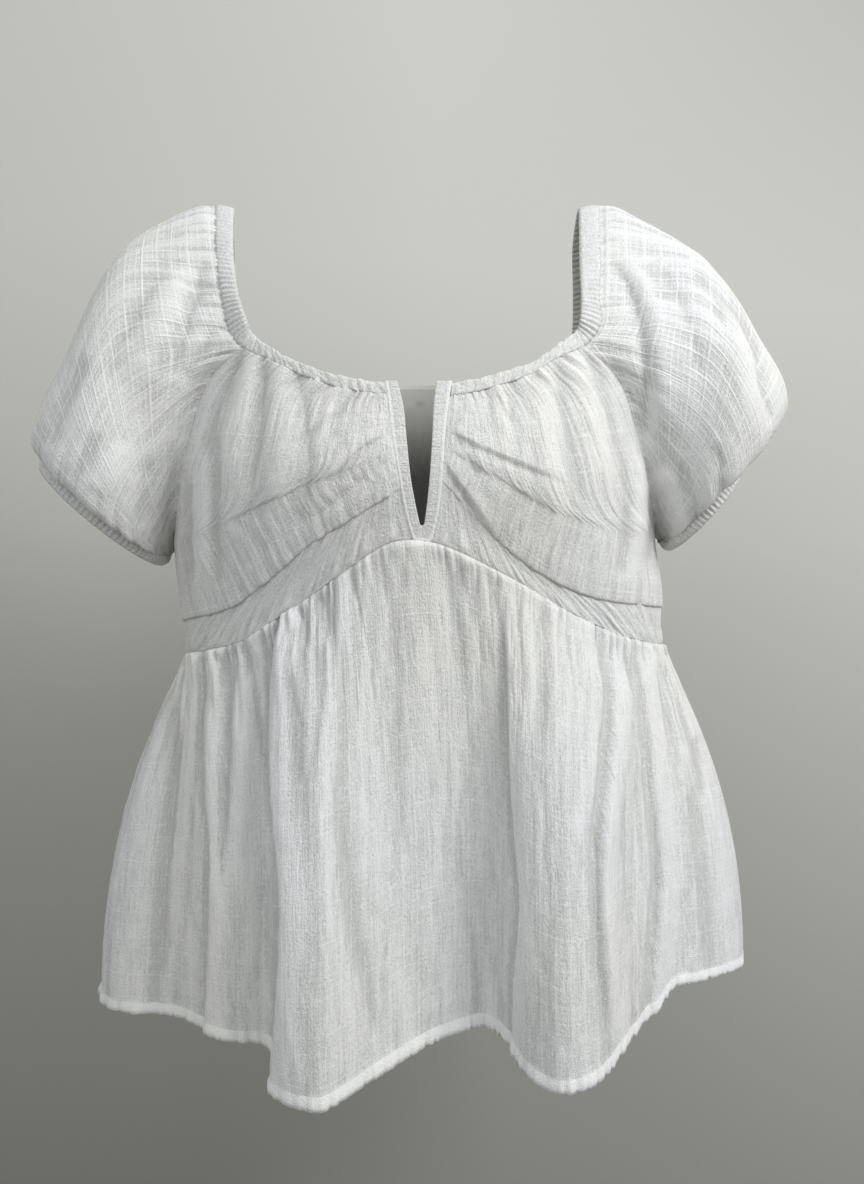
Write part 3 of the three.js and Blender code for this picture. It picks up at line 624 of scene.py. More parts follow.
def gathers(across, down, reach, pitch, seed):
    """Rounded gathers with sharp creases between them, from about -0.4 to 0.6, dying out below their seam."""
    drift = 0.35 * pitch * rough(down / (4 * pitch), across / (6 * pitch), seed + 1)
    form = np.abs(rough((across + drift) / pitch, down / (9 * pitch), seed)) ** 0.65
    form = 0.7 * form + 0.3 * np.abs(rough((across + drift) / (0.5 * pitch), down / (6 * pitch), seed + 2))
    run = reach * (0.75 + 0.5 * rough(across / (1.3 * pitch), 0 * down, seed + 3))
    return (form - 0.4) * np.exp(-((down / run) ** 2))


def gathered(layers):
    """Height of layers of gathers: the size, place across, place down, reach, pitch and seed of each."""
    return sum(size * gathers(*layer) for size, *layer in layers)


def crinkle(across, down, seed):
    """Fine upright crinkle of the gauze, from about -0.5 to 0.5."""
    bend = 1.2 * rough(down / 14, across / 20, seed)
    fine = np.abs(rough((across + bend) / 2.6, down / 17, seed + 1))
    broad = np.abs(rough((across + bend) / 5.5, down / 40, seed + 2))
    return 0.6 * fine + 0.6 * broad - 0.5


# --- making pieces ---


RELIEF_RANGE = (-0.9, 0.7)  # the least and most that a place stands above its surroundings, for the painted shade below and painted highlight above
RELIEF_SHARE = 0.6
HEM_ROWS = 3  # rows of faces along the edge that show the turned hem
REACHES = (5, 16)  # columns each side that a place of a sheet is compared with, to find its creases for their painted shade


def cloth_piece(name, points, wall, material, closed=False, inside=None, hem=None, relief_for_painted_shade=None):
    """A sheet of cloth through a grid of points, with its place on the flat cloth as its UV map."""
    rows, columns = points.shape[0] - 1, points.shape[1] - 1
    laid = np.stack(np.meshgrid(lengths(points, 1), lengths(points, 0)), -1)
    made = bmesh.new()
    bmesh.ops.create_grid(made, x_segments=columns, y_segments=rows, size=0.5)
    bmesh.ops.reverse_faces(made, faces=made.faces)
    made.loops.layers.uv.new("cloth")
    mesh = bpy.data.meshes.new(name)
    made.to_mesh(mesh)
    flat = np.zeros(len(mesh.vertices) * 3)
    mesh.vertices.foreach_get("co", flat)
    flat = flat.reshape(-1, 3)
    i = np.rint((flat[:, 0] + 0.5) * columns).astype(int)
    j = np.rint((flat[:, 1] + 0.5) * rows).astype(int)
    mesh.vertices.foreach_set("co", (points[j, i] * MM).ravel())
    corner = np.zeros(len(mesh.loops), int)
    mesh.loops.foreach_get("vertex_index", corner)
    cloth = laid[j, i] * MM
    mesh.uv_layers["cloth"].data.foreach_set("uv", cloth[corner].ravel())
    # painted shade and highlight: how far each place lies below or above its surroundings, kept as an
    # attribute that darkens creases and lightens ridges in the gauze colour
    if relief_for_painted_shade is not None:
        stand = 0 * relief_for_painted_shade
        for reach in REACHES:
            around = sum(np.roll(relief_for_painted_shade, k, 1) for k in range(-reach, reach + 1)) / (2 * reach + 1)
            stand += RELIEF_SHARE * (relief_for_painted_shade - around)
        kept = mesh.attributes.new("relief_for_painted_shade", "FLOAT", "POINT")
        kept.data.foreach_set("value", np.clip(stand, *RELIEF_RANGE)[j, i])
    made.clear()
    made.from_mesh(mesh)
    if closed:
        bmesh.ops.remove_doubles(made, verts=made.verts, dist=1e-6)
    for face in made.faces:
        face.smooth = True
    made.to_mesh(mesh)
    made.free()
    piece = bpy.data.objects.new(name, mesh)
    bpy.context.scene.collection.objects.link(piece)
    thick = piece.modifiers.new("Wall", "SOLIDIFY")
    thick.thickness = wall * MM
    thick.offset = -1
    mesh.materials.append(material)
    # the inner face can take a material of its own, such as the painted shade of the inside
    if inside:
        mesh.materials.append(inside)
        thick.material_offset = 1
    if hem:
        mesh.materials.append(hem)
        row = np.minimum(j[corner[::4]], j[corner[2::4]])
        mesh.polygons.foreach_set("material_index", (row >= rows - HEM_ROWS).astype(int))
    return piece


def declare(piece, node):
    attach(piece, "root")
    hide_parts(node)


# --- materials ---


def node(tree, kind, values=None, **stated):
    """A node of a kind, with what is stated set on the node, and values on its inputs."""
    made = tree.nodes.new("ShaderNode" + kind)
    for key, value in stated.items():
        setattr(made, key, value)
    for key, value in (values or {}).items():
        if isinstance(value, bpy.types.NodeSocket):
            tree.links.new(value, made.inputs[key])
        else:
            made.inputs[key].default_value = value
    return made


def new_group(name, inputs, outputs):
    group = bpy.data.node_groups.new(name, "ShaderNodeTree")
    for title, kind, default in inputs:
        socket = group.interface.new_socket(title, in_out="INPUT", socket_type="NodeSocket" + kind)
        if default is not None:
            socket.default_value = default
    for title in outputs:
        group.interface.new_socket(title, in_out="OUTPUT", socket_type="NodeSocketFloat")
    return group, group.nodes.new("NodeGroupInput").outputs, group.nodes.new("NodeGroupOutput").inputs


def math_node(tree, operation, a, b=0.0, c=0.0):
    return node(tree, "Math", {0: a, 1: b, 2: c}, operation=operation).outputs[0]


def noise(tree, vector, scale, detail=2.0, distortion=0.0):
    """Noise at a scale of its own each way, per metre of cloth."""
    placed = node(tree, "Mapping", {"Vector": vector, "Scale": scale})
    values = {"Vector": placed.outputs[0], "Scale": 1.0, "Roughness": 0.6}
    return node(tree, "TexNoise", values | {"Detail": detail, "Distortion": distortion}).outputs[0]


def crinkle_group():
    """Crepe grain and upright crinkle of the gauze, with painted shade in the crinkle's creases."""
    group, given, wanted = new_group(
        "Gauze crinkle",
        [
            ("Place", "Vector", None),
            ("Cloth", "Vector", None),
            ("Ridges", "Float", 1.0),
            ("Grain", "Float", 1.0),
        ],
        ["Height", "Shade"],
    )
    ridges = noise(group, given["Cloth"], (380, 34, 1), 3.0, 0.4)
    folded = math_node(group, "ABSOLUTE", math_node(group, "MULTIPLY_ADD", ridges, 2.0, -1.0))
    sharp = math_node(group, "MULTIPLY_ADD", folded, -2.6, 0.5)
    creases = math_node(group, "MULTIPLY", sharp, given["Ridges"])
    crepe = math_node(group, "SUBTRACT", noise(group, given["Place"], (950, 950, 700), 2.0, 0.3), 0.5)
    fluff = math_node(group, "SUBTRACT", noise(group, given["Place"], (2300, 2300, 1900), 1.0), 0.5)
    grain = math_node(group, "MULTIPLY", math_node(group, "MULTIPLY_ADD", fluff, 0.7, crepe), given["Grain"])
    height = math_node(group, "MULTIPLY_ADD", grain, 2.4, creases)
    group.links.new(height, wanted["Height"])
    blotch = math_node(group, "SUBTRACT", noise(group, given["Cloth"], (75, 30, 1), 2.0), 0.5)
    # painted shade: the tone darkens in the crinkle's creases, with the grain's own tone and random blotches
    # mixed in
    shade = math_node(group, "MULTIPLY_ADD", creases, 0.3, 0.5)
    shade = math_node(group, "MULTIPLY_ADD", grain, 1.7, shade)
    group.links.new(math_node(group, "MULTIPLY_ADD", blotch, 0.35, shade), wanted["Shade"])
    return group


def slub_group():
    """Mask of the thicker slub threads that run one way across the cloth."""
    group, given, wanted = new_group(
        "Slub threads",
        [
            ("Cloth", "Vector", None),
            ("Turn", "Vector", None),
            ("Pitch", "Float", 0.0085),
            ("Width", "Float", 0.07),
        ],
        ["Mask"],
    )
    turned = node(group, "Mapping", {"Vector": given["Cloth"], "Rotation": given["Turn"]}).outputs[0]
    across = node(group, "SeparateXYZ", {0: turned}).outputs[0]
    drift = math_node(group, "MULTIPLY", noise(group, turned, (40, 5, 1), 1.0), 0.8)
    place = math_node(group, "ADD", math_node(group, "DIVIDE", across, given["Pitch"]), drift)
    off = math_node(group, "ABSOLUTE", math_node(group, "SUBTRACT", math_node(group, "FRACT", place), 0.5))
    start = math_node(group, "SUBTRACT", 0.5, given["Width"])
    line = node(group, "MapRange", {0: off, 1: start, 2: 0.5}, interpolation_type="SMOOTHSTEP").outputs[0]
    slubs = node(group, "MapRange", {0: noise(group, turned, (110, 60, 1), 2.0), 1: 0.27, 2: 0.56}).outputs[0]
    group.links.new(math_node(group, "MULTIPLY", line, slubs), wanted["Mask"])
    return group


def use_group(tree, group, values):
    return node(tree, "Group", values, node_tree=group).outputs


def matt(name, specular):
    """A matt material to be wired up: the material, its nodes and its shader."""
    made = bpy.data.materials.new(name)
    made.use_nodes = True
    shader = made.node_tree.nodes["Principled BSDF"]
    shader.inputs["Roughness"].default_value = 1.0
    shader.inputs["Specular IOR Level"].default_value = specular
    return made, made.node_tree, shader.inputs


THREADS = ((0.0087, 0.11, 0.85), (0.0031, 0.24, 0.4))  # thick and fine slubs: pitch (m), width, strength
WARM, COOL = (1.0, 0.995, 0.965), (0.98, 0.985, 1.01)  # slight change of hue over the cloth
CREASE_PAINTED_SHADE = 0.5  # painted shade: how much each millimetre of depth deepens the tone of a crease, and each of height lightens a ridge as painted highlight


def gauze(name, light, shade, slubs, ridges=1.0, grain=1.0):
    """Material of one finish of the gauze, mixed from its lit colour towards its shade colour: painted shade
    in the creases of the crinkle and the folds, painted highlight on the folds' ridges, and the grain, slubs
    and blotches of the cloth. slubs is how strongly its thick threads show each way.
    """
    if name in bpy.data.materials:
        return bpy.data.materials[name]
    groups = bpy.data.node_groups
    crinkled = groups.get("Gauze crinkle") or crinkle_group()
    threads = groups.get("Slub threads") or slub_group()
    made, tree, shader = matt(name, 0.1)
    cloth = node(tree, "UVMap", uv_map="cloth").outputs[0]
    place = node(tree, "TexCoord").outputs["Object"]
    surface = use_group(tree, crinkled, {"Place": place, "Cloth": cloth, "Ridges": ridges, "Grain": grain})
    grid = 0.0
    for turn, strength in zip((0.0, math.pi / 2), slubs):
        for pitch, width, share in THREADS:
            lie = {"Cloth": cloth, "Turn": (0, 0, turn), "Pitch": pitch, "Width": width}
            line = use_group(tree, threads, lie)["Mask"]
            grid = math_node(tree, "MULTIPLY_ADD", line, strength * share, grid)
    tone_and_painted_shade = math_node(tree, "MULTIPLY_ADD", grid, 0.8, surface["Shade"])
    # painted shade in the creases of the folds and painted highlight on their ridges
    relief_for_painted_shade = node(tree, "Attribute", attribute_name="relief_for_painted_shade").outputs["Fac"]
    tone_and_painted_shade = math_node(tree, "MULTIPLY_ADD", relief_for_painted_shade, CREASE_PAINTED_SHADE, tone_and_painted_shade)
    hue = node(tree, "MapRange", {0: noise(tree, place, (8, 8, 4), 1.0), 1: 0.35, 2: 0.65}).outputs[0]
    warm, cool = ([tone * share for tone, share in zip(light, shift)] for shift in (WARM, COOL))
    lit = node(tree, "Mix", {0: hue, 6: (*warm, 1), 7: (*cool, 1)}, data_type="RGBA").outputs[2]
    # the colour runs from the lit colour to the crease shade colour, by grain and painted shade
    colour = node(tree, "Mix", {0: tone_and_painted_shade, 6: (*shade, 1), 7: lit}, data_type="RGBA", clamp_factor=True)
    tree.links.new(colour.outputs[2], shader["Base Color"])
    height = math_node(tree, "MULTIPLY_ADD", grid, 1.1, surface["Height"])
    bump = node(tree, "Bump", {"Height": height, "Strength": 0.6, "Distance": 0.0005})
    tree.links.new(bump.outputs[0], shader["Normal"])
    shader["Sheen Weight"].default_value = 0.08
    shader["Sheen Roughness"].default_value = 0.7
    return made


PAINTED_SHADE_INSIDE_RANGE = (-0.175, -0.092)  # heights, in metres, where the painted shade on the inside of the back is darkest and where it ends


def painted_shade_inside_gauze(name, light, shade):
    """The inside of the back and the casing, with painted shade that deepens lower down, where less light
    would come in.
    """
    if name in bpy.data.materials:
        return bpy.data.materials[name]
    made, tree, shader = matt(name, 0.0)
    place = node(tree, "TexCoord").outputs["Object"]
    height = node(tree, "SeparateXYZ", {0: place}).outputs["Z"]
    low, high = PAINTED_SHADE_INSIDE_RANGE
    # painted shade: darker lower down the inside, with a little mottling
    rise = node(tree, "MapRange", {0: height, 1: low, 2: high}, interpolation_type="SMOOTHSTEP").outputs[0]
    shade_and_mottle = math_node(tree, "MULTIPLY_ADD", noise(tree, place, (700, 700, 90), 2.0), 0.12, rise)
    tones = {0: shade_and_mottle, 6: (*shade, 1), 7: (*light, 1)}
    colour = node(tree, "Mix", tones, data_type="RGBA", clamp_factor=True)
    tree.links.new(colour.outputs[2], shader["Base Color"])
    return made


def painted_shade_backdrop(name, colour):
    """Matt studio wall with painted shade, darker towards its foot and darker where the key light is nearest,
    against its pool of light, and clear from behind.
    """
    made, tree, shader = matt(name, 0.0)
    place = node(tree, "SeparateXYZ", {0: node(tree, "TexCoord").outputs["Object"]}).outputs
    # painted shade: the tone falls from the top towards the foot, leaning a little across, and falls again
    # near the key light
    lean = math_node(tree, "MULTIPLY_ADD", place["X"], 0.1, place["Z"])
    rise = node(tree, "MapRange", {0: lean, 1: -0.95, 2: 0.05, 3: 0.5, 4: 1.0})
    to_side, up = math_node(tree, "MAXIMUM", place["X"]), math_node(tree, "ADD", place["Z"], 0.2)
    near_key_painted_shade = math_node(tree, "MULTIPLY", to_side, up)
    rise = math_node(tree, "MULTIPLY_ADD", math_node(tree, "MAXIMUM", near_key_painted_shade), -1.4, rise.outputs[0])
    tone = node(tree, "Mix", {0: rise, 6: (0, 0, 0, 1), 7: (*colour, 1)}, data_type="RGBA")
    tree.links.new(tone.outputs[2], shader["Base Color"])
    clear = node(tree, "BsdfTransparent")
    behind = node(tree, "NewGeometry").outputs["Backfacing"]
    shadow = node(tree, "LightPath").outputs["Is Shadow Ray"]
    hidden = math_node(tree, "MAXIMUM", behind, shadow)
    lit = tree.nodes["Principled BSDF"].outputs[0]
    both = node(tree, "MixShader", {0: hidden, 1: lit, 2: clear.outputs[0]})
    tree.links.new(both.outputs[0], tree.nodes["Material Output"].inputs["Surface"])
    return made


# --- settings ---


def length(name, description, default):
    shown = {"min": 0, "unit": "LENGTH", "subtype": "DISTANCE"}
    return FloatProperty(name=name, description=description, default=default, **shown)


def tint(name, description, default):
    return FloatVectorProperty(name=name, description=description, default=default, size=3, subtype="COLOR")


class BlouseSizes(bpy.types.PropertyGroup):
    """Sizes of the cloth and its gathers"""

    cloth_wall: length("Gauze", "Thickness of one layer", 0.0009)
    casing_wall: length("Casing", "Thickness of a casing with its elastic", 0.0015)
    crinkle: length("Crinkle", "Height of the upright crinkle", 0.001)
    neck_gather: length("Neck gathers", "Height of the gathers below the casing", 0.0024)
    waist_gather: length("Waist gathers", "Height of the gathers below the seam", 0.0056)
    cuff_gather: length("Cuff gathers", "Height of the gathers above a cuff", 0.0026)
    rib_pitch: length("Rib pitch", "Distance between ribs of the elastic", 0.0038)
    rib_height: length("Rib height", "Height of the ribs of the elastic", 0.0011)
    hem: length("Hem", "Width of the turned hem", 0.007)


class BlouseColours(bpy.types.PropertyGroup):
    """Colours of the gauze and the studio"""

    gauze: tint("Gauze", "Gauze in the light", (0.84, 0.842, 0.832))
    # painted shade: the colour of the gauze in its creases, which is also the dark end of its grain
    crease_shade_and_grain: tint("Creases", "Gauze in its creases", (0.56, 0.563, 0.55))
    double: tint("Double gauze", "Two layers of gauze", (0.88, 0.885, 0.88))
    hem: tint("Hem", "Turned hem of the skirt", (0.91, 0.91, 0.895))
    # painted shade: the inside is darker than the gauze itself, and deepens to 0.12 of this lower down
    inside: tint("Inside", "Inside of the back, near the neck", (0.7, 0.69, 0.65))
    studio: tint("Studio", "Wall and floor", (0.6, 0.594, 0.56))


def settings(context):
    """The sizes in millimetres, and the colours."""
    stated = context.scene.blouse_sizes
    sizes = {name: getattr(stated, name) / MM for name in BlouseSizes.__annotations__}
    return SimpleNamespace(**sizes), context.scene.blouse_colours


def plain_gauze(colours):
    return gauze("GauzeBody", colours.gauze, colours.crease_shade_and_grain, (0.45, 0.28))


def hem_gauze(colours):
    return gauze("GauzeHem", colours.hem, colours.gauze, (0.0, 0.0), ridges=0.7)


def double_gauze(colours):
    return gauze("GauzeDouble", colours.double, colours.crease_shade_and_grain, (0.0, 0.0), ridges=0.3, grain=1.1)


def painted_shade_inner_gauze(colours):
    # painted shade: the dark end of the inside is 0.12 of its light colour
    return painted_shade_inside_gauze("GauzeInside", colours.inside, [0.12 * tone for tone in colours.inside])


NECK_PITCH, NECK_SEED = 6.4, 11  # the gathers that run on from the casing into the bust and the back
SEAM_PER_DEGREE = 3.0  # millimetres round the seam of the skirt in each degree
SMOOTHING = 40  # times that the second ring of a sleeve is smoothed
LEFT, RIGHT = -1, 1
SIDE_NAMES = {LEFT: "Left", RIGHT: "Right"}
NODE_NAMES = {LEFT: "left", RIGHT: "right"}


class BLOUSE_OT_neck(bpy.types.Operator):
    """Make the elastic neck casing, frilled at the front, and the band round the V notch"""

    bl_idname = "blouse.neck"
    bl_label = "Neck casing and notch band"

    def execute(self, context):
        sizes, colours = settings(context)
        u, v = np.linspace(0, 1, 1301), np.linspace(0, 1, 7)[:, None]
        index = (1 - u) * CASING_LAST
        row = casing_at(index)
        around = neck_length(index)
        front = np.maximum(ease(6 - index, 0, 1.6), ease(index - 28, 0, 1.6))
        points = mix(row[:, :3], row[:, 3:], v[..., None])
        frill = 0.5 * front * (1 - v) ** 2 * rough(around / 3.6, 0 * around, 3)
        points[..., 2] += frill
        pitch = sizes.rib_pitch
        ribs = 0.5 + 0.5 * np.cos(2 * np.pi * (around + 1.1 * rough(around / 13, 0 * around, 7)) / pitch)
        ribs = ribs**0.6 * (1 - ease(index, 14.5, 15.5) * ease(-index, -20, -19) * 0.8)
        tube = np.sin(np.pi * np.clip(v, 0.04, 1)) ** 0.6
        back = ease(index, 13, 15) * ease(21 - index, 0, 2)
        height = 0.2 + 0.8 * back + (0.8 - 0.4 * front) * (1 - back) * tube
        height = height + sizes.rib_height * ribs * (1 - front) * (0.8 + 0.2 * tube)
        lines = gathers(around + 0 * v, 9 * (1 - v) + 0 * around, reach=40, pitch=NECK_PITCH, seed=NECK_SEED)
        height = height + 0.6 * sizes.neck_gather * lines * front * (0.25 + 0.75 * v)
        height = height + 0.35 * rough(around / 2.1, 3 * v, 9) * (0.4 + front)
        points += outward(points) * height[..., None]
        # the casing's inner face takes painted shade
        body, inner = double_gauze(colours), painted_shade_inner_gauze(colours)
        piece = cloth_piece("NeckCasing", points, sizes.casing_wall, body, inside=inner)
        declare(piece, "neck_casing")

        u, v = np.linspace(0, 1, 201), np.linspace(0, 1.08, 13)[:, None]
        left = np.stack([NOTCH[:, 1], NOTCH[:, 0], NOTCH[:, 2], NOTCH[:, 0]], -1)
        right = np.stack([NOTCH[:, 4], NOTCH[:, 0], NOTCH[:, 3], NOTCH[:, 0]], -1)
        foot = [(-5, -226.4, -1.4, -217.6), (-0.5, -226.4, -0.7, -218), (4, -226.4, 0, -217.6)]
        strip = along(np.vstack([left, foot, right[::-1]]), u)
        z = mix(strip[:, 3], strip[:, 1], v)
        points = torso_point(angle_at(mix(strip[:, 2], strip[:, 0], v), z), z)
        edge = np.exp(-(((v - 0.95) / 0.1) ** 2))
        height = 0.1 + 0.2 * np.sin(np.pi * np.minimum(v, 1)) + 0.45 * edge
        run = lengths(points, 1)
        height = height + 0.15 * gathers(run + 0 * v, 6 * v + 0 * run, reach=30, pitch=3.4, seed=21)
        points += outward(points) * height[..., None]
        body, edge = plain_gauze(colours), hem_gauze(colours)
        piece = cloth_piece("NotchBand", points, sizes.cloth_wall, body, hem=edge)
        declare(piece, "notch_band")
        return {"FINISHED"}


class BLOUSE_OT_bust(bpy.types.Operator):
    """Make both bust panels, gathered into the casing, folded across and bloused over the midriff"""

    bl_idname = "blouse.bust"
    bl_label = "Bust panels"

    def execute(self, context):
        sizes, colours = settings(context)
        for side, line in ((LEFT, BAND_LINE_LEFT), (RIGHT, BAND_LINE_RIGHT)):
            u, v = np.linspace(0, 1, 161), np.linspace(0, 1, 141)
            u = 1 - u if side < 0 else u
            start = 0 if side < 0 else CASING_LAST
            angle, z = panel(
                neck_edge(start, CORNER[side], False),
                lambda t: along(line, t).T,
                notch_edge(side, CASING_ROWS[start][5], line[0][1]),
                outer_edge(side, line[-1][1], 3, False),
                u,
                v,
            )
            v = v[:, None]
            down = np.sin(np.pi * v**1.15)
            puff = 0.7 * BUST_EASE * np.maximum(down * np.sin(np.pi * u**0.8), 0)
            overhang = 1.1 * ramp(v, 0.72, 0.93) - 0.5 * ramp(v, 0.98, 1) ** 2
            out = puff + overhang * (0.25 + 0.75 * ease(u, 0, 0.1))
            points = torso_point(angle, z - 0.6 * LAP * ramp(v, 0.9, 1), out)
            facing = outward(points)
            neck = neck_length(mix(start, CORNER[side], u)) + 0 * v
            across, below = lengths(points, 1) + 0 * v, lengths(points, 0)[:, None] + 0 * u
            inside = ease(u, 0, 0.05) * ease(1 - u, 0, 0.04)
            height = gathered([
                (0.9 * sizes.neck_gather, neck, below, 30, NECK_PITCH, NECK_SEED),
                (0.65 * sizes.neck_gather, 1.7 * neck, below, 60, 14, 31 + side),
            ])
            height += sizes.crinkle * crinkle(across, below, 60 + side)
            height += 1.1 * gathers(across, below[-1] - below, reach=20, pitch=7, seed=80 + side)
            height += folds(points, BUST_FOLDS, np.ones(points.shape[:2]))
            points += facing * (height * inside)[..., None]
            body = plain_gauze(colours)
            name = "Bust" + SIDE_NAMES[side]
            piece = cloth_piece(name, points, sizes.cloth_wall, body, relief_for_painted_shade=height * inside)
            declare(piece, "bust_" + NODE_NAMES[side])
        return {"FINISHED"}


class BLOUSE_OT_midriff(bpy.types.Operator):
    """Make the two midriff bands between the blousing and the skirt seam"""

    bl_idname = "blouse.midriff"
    bl_label = "Midriff bands"

    def execute(self, context):
        sizes, colours = settings(context)
        for side, line in ((LEFT, BAND_LINE_LEFT), (RIGHT, BAND_LINE_RIGHT)):
            u, v = np.linspace(0, 1, 161), np.linspace(0, 1, 31)
            u = 1 - u if side < 0 else u
            begin = float(angle_at(NOTCH_FOOT[side], NOTCH_FOOT_Z))
            foot = float(seam_height(np.array(begin)))
            side_angle = np.array(side * 90.0)

            def lower(t):
                angle = mix(begin, side * SIDE_SEAM, t)
                return [angle, seam_height(angle)]

            angle, z = panel(
                lambda t: along(line, t).T,
                lower,
                notch_edge(side, line[0][1], foot),
                lambda t: [side * SIDE_SEAM + 0 * t, mix(line[-1][1], float(seam_height(side_angle)), t)],
                u,
                v,
            )
            points = torso_point(np.clip(angle, -SIDE_SEAM, SIDE_SEAM), z)
            across, below = lengths(points, 1) + 0 * v[:, None], lengths(points, 0)[:, None] + 0 * u
            inside = ease(u, 0, 0.05) * ease(1 - u, 0, 0.03) * ease(1 - v, 0, 0.12)[:, None]
            height = sizes.crinkle * crinkle(across, below, 90 + side)
            above = below[-1] - below
            height += 0.55 * sizes.waist_gather * gathers(across, above, reach=16, pitch=5.5, seed=51)
            height += 0.7 * gathers(across, below, reach=14, pitch=7, seed=80 + side)
            points += outward(points) * (height * inside)[..., None]
            body = plain_gauze(colours)
            name = "Midriff" + SIDE_NAMES[side]
            piece = cloth_piece(name, points, sizes.cloth_wall, body, relief_for_painted_shade=height * inside)
            declare(piece, "midriff_" + NODE_NAMES[side])
        return {"FINISHED"}


class BLOUSE_OT_back(bpy.types.Operator):
    """Make the back bodice, gathered at the neck and the waist"""

    bl_idname = "blouse.back"
    bl_label = "Back bodice"

    def execute(self, context):
        sizes, colours = settings(context)
        u, v = np.linspace(0, 1, 241), np.linspace(-0.06, 1, 120)
        waist = seam_height(np.array([90.0, 270.0]))
        angle, z = panel(
            neck_edge(BACK_END, BACK_START, True),
            lambda t: [mix(90, 270, t), seam_height(mix(90, 270, t))],
            outer_edge(RIGHT, waist[0], 5, True),
            lambda t: np.add(outer_edge(LEFT, waist[1], 5, True)(t), [[360], [0]]),
            u,
            np.maximum(v, 0),
        )
        z = z + CASING_TUCK * np.maximum(v / v[0], 0)[:, None]
        points = torso_point(angle, z)
        neck = neck_length(mix(BACK_END, BACK_START, u)) + 0 * v[:, None]
        across, below = lengths(points, 1) + 0 * v[:, None], lengths(points, 0)[:, None] - CASING_TUCK + 0 * u
        inside = ease(u, 0, 0.03) * ease(1 - u, 0, 0.03) * ease(below, 0, 4)
        height = gathered([
            (0.8 * sizes.neck_gather, neck, below, 34, NECK_PITCH, NECK_SEED),
            (0.9 * sizes.neck_gather, 1.4 * neck, below, 90, 15, 33),
        ])
        height += sizes.crinkle * crinkle(across, below, 95)
        height += 0.8 * sizes.waist_gather * gathers(across, below[-1] - below, reach=40, pitch=6.5, seed=44)
        height += 1.8 * gathers(across, below[-1] - below, reach=80, pitch=16, seed=45)
        points += outward(points) * (height * inside)[..., None]
        # the back's inner face takes painted shade, darker lower down
        body, inner = plain_gauze(colours), painted_shade_inner_gauze(colours)
        relief_for_painted_shade = height * inside
        piece = cloth_piece("BackBodice", points, sizes.cloth_wall, body, inside=inner, relief_for_painted_shade=relief_for_painted_shade)
        declare(piece, "back_bodice")
        return {"FINISHED"}


class BLOUSE_OT_sleeves(bpy.types.Operator):
    """Make both balloon sleeves, gathered into the straps and the cuffs"""

    bl_idname = "blouse.sleeves"
    bl_label = "Sleeves"

    def execute(self, context):
        sizes, colours = settings(context)
        for side, rings in ((LEFT, SLEEVE_LEFT), (RIGHT, SLEEVE_RIGHT)):
            share = np.linspace(0, 1, 241)
            turn = (share if side < 0 else 1 - share) % 1.0
            begin = sleeve_mouth(side, turn)
            begin[:, 0] -= 0.9 * side
            rise = 0.5 + 0.5 * np.cos(turn * 2 * np.pi)
            out = begin.copy()
            out[:, 0] += side * (1 + SHOULDER_PUFF * rise)
            out[:, 2] += 2 * rise - 0.4
            for _ in range(SMOOTHING):
                out[1:-1] = 0.5 * out[1:-1] + 0.25 * (out[:-2] + out[2:])
                out[0] = out[-1] = 0.5 * out[0] + 0.25 * (out[1] + out[-2])
            curves = np.array([begin, out, *[ring_points(ring, turn) for ring in rings]])
            rows = np.linspace(0, 1, 141)
            points = centripetal(curves, np.interp(rows, SLEEVE_PLACES, np.linspace(0, 1, 6)))
            facing = outward(points, True)
            steps = np.linalg.norm(np.diff(begin, axis=0), axis=1)
            mouth = np.concatenate([[0], np.cumsum(steps)]) * np.ones((len(rows), 1))
            across, below = lengths(points, 1) + 0 * mouth, lengths(points, 0)[:, None] + 0 * mouth
            wrap = ease(share, 0, 0.03) * ease(1 - share, 0, 0.03)
            strong = 1.35 * sizes.neck_gather * (0.25 + 0.75 * rise)
            above, loose = below[-1] - below, 0.9 * sizes.neck_gather * rise
            height = gathered([
                (strong, mouth, below, 42, 7, 101 + side),
                (loose, 1.2 * mouth, below, 110, 17, 104 + side),
            ])
            height += 0.75 * sizes.crinkle * crinkle(1.1 * across, below, 110 + side)
            wrist = 0.55 * across
            height += sizes.cuff_gather * gathers(wrist, above, reach=26, pitch=5, seed=120 + side)
            height += 0.7 * sizes.cuff_gather * gathers(wrist, above, reach=55, pitch=12, seed=123 + side)
            height = height * wrap + folds(points, SLEEVE_FOLDS, ease(-points[..., 1], 0, 14))
            height *= ease(below, 0, 5)
            height += 2.6 * (0.35 + 0.65 * rise) * gathers(mouth, below, reach=24, pitch=4.4, seed=107 + side)
            points += facing * height[..., None]
            finish = gauze("GauzeSleeve", colours.gauze, colours.crease_shade_and_grain, (1.15, 1.15), ridges=0.35)
            name = "Sleeve" + SIDE_NAMES[side]
            piece = cloth_piece(name, points, sizes.cloth_wall, finish, closed=True, relief_for_painted_shade=height)
            declare(piece, "sleeve_" + NODE_NAMES[side])
        return {"FINISHED"}


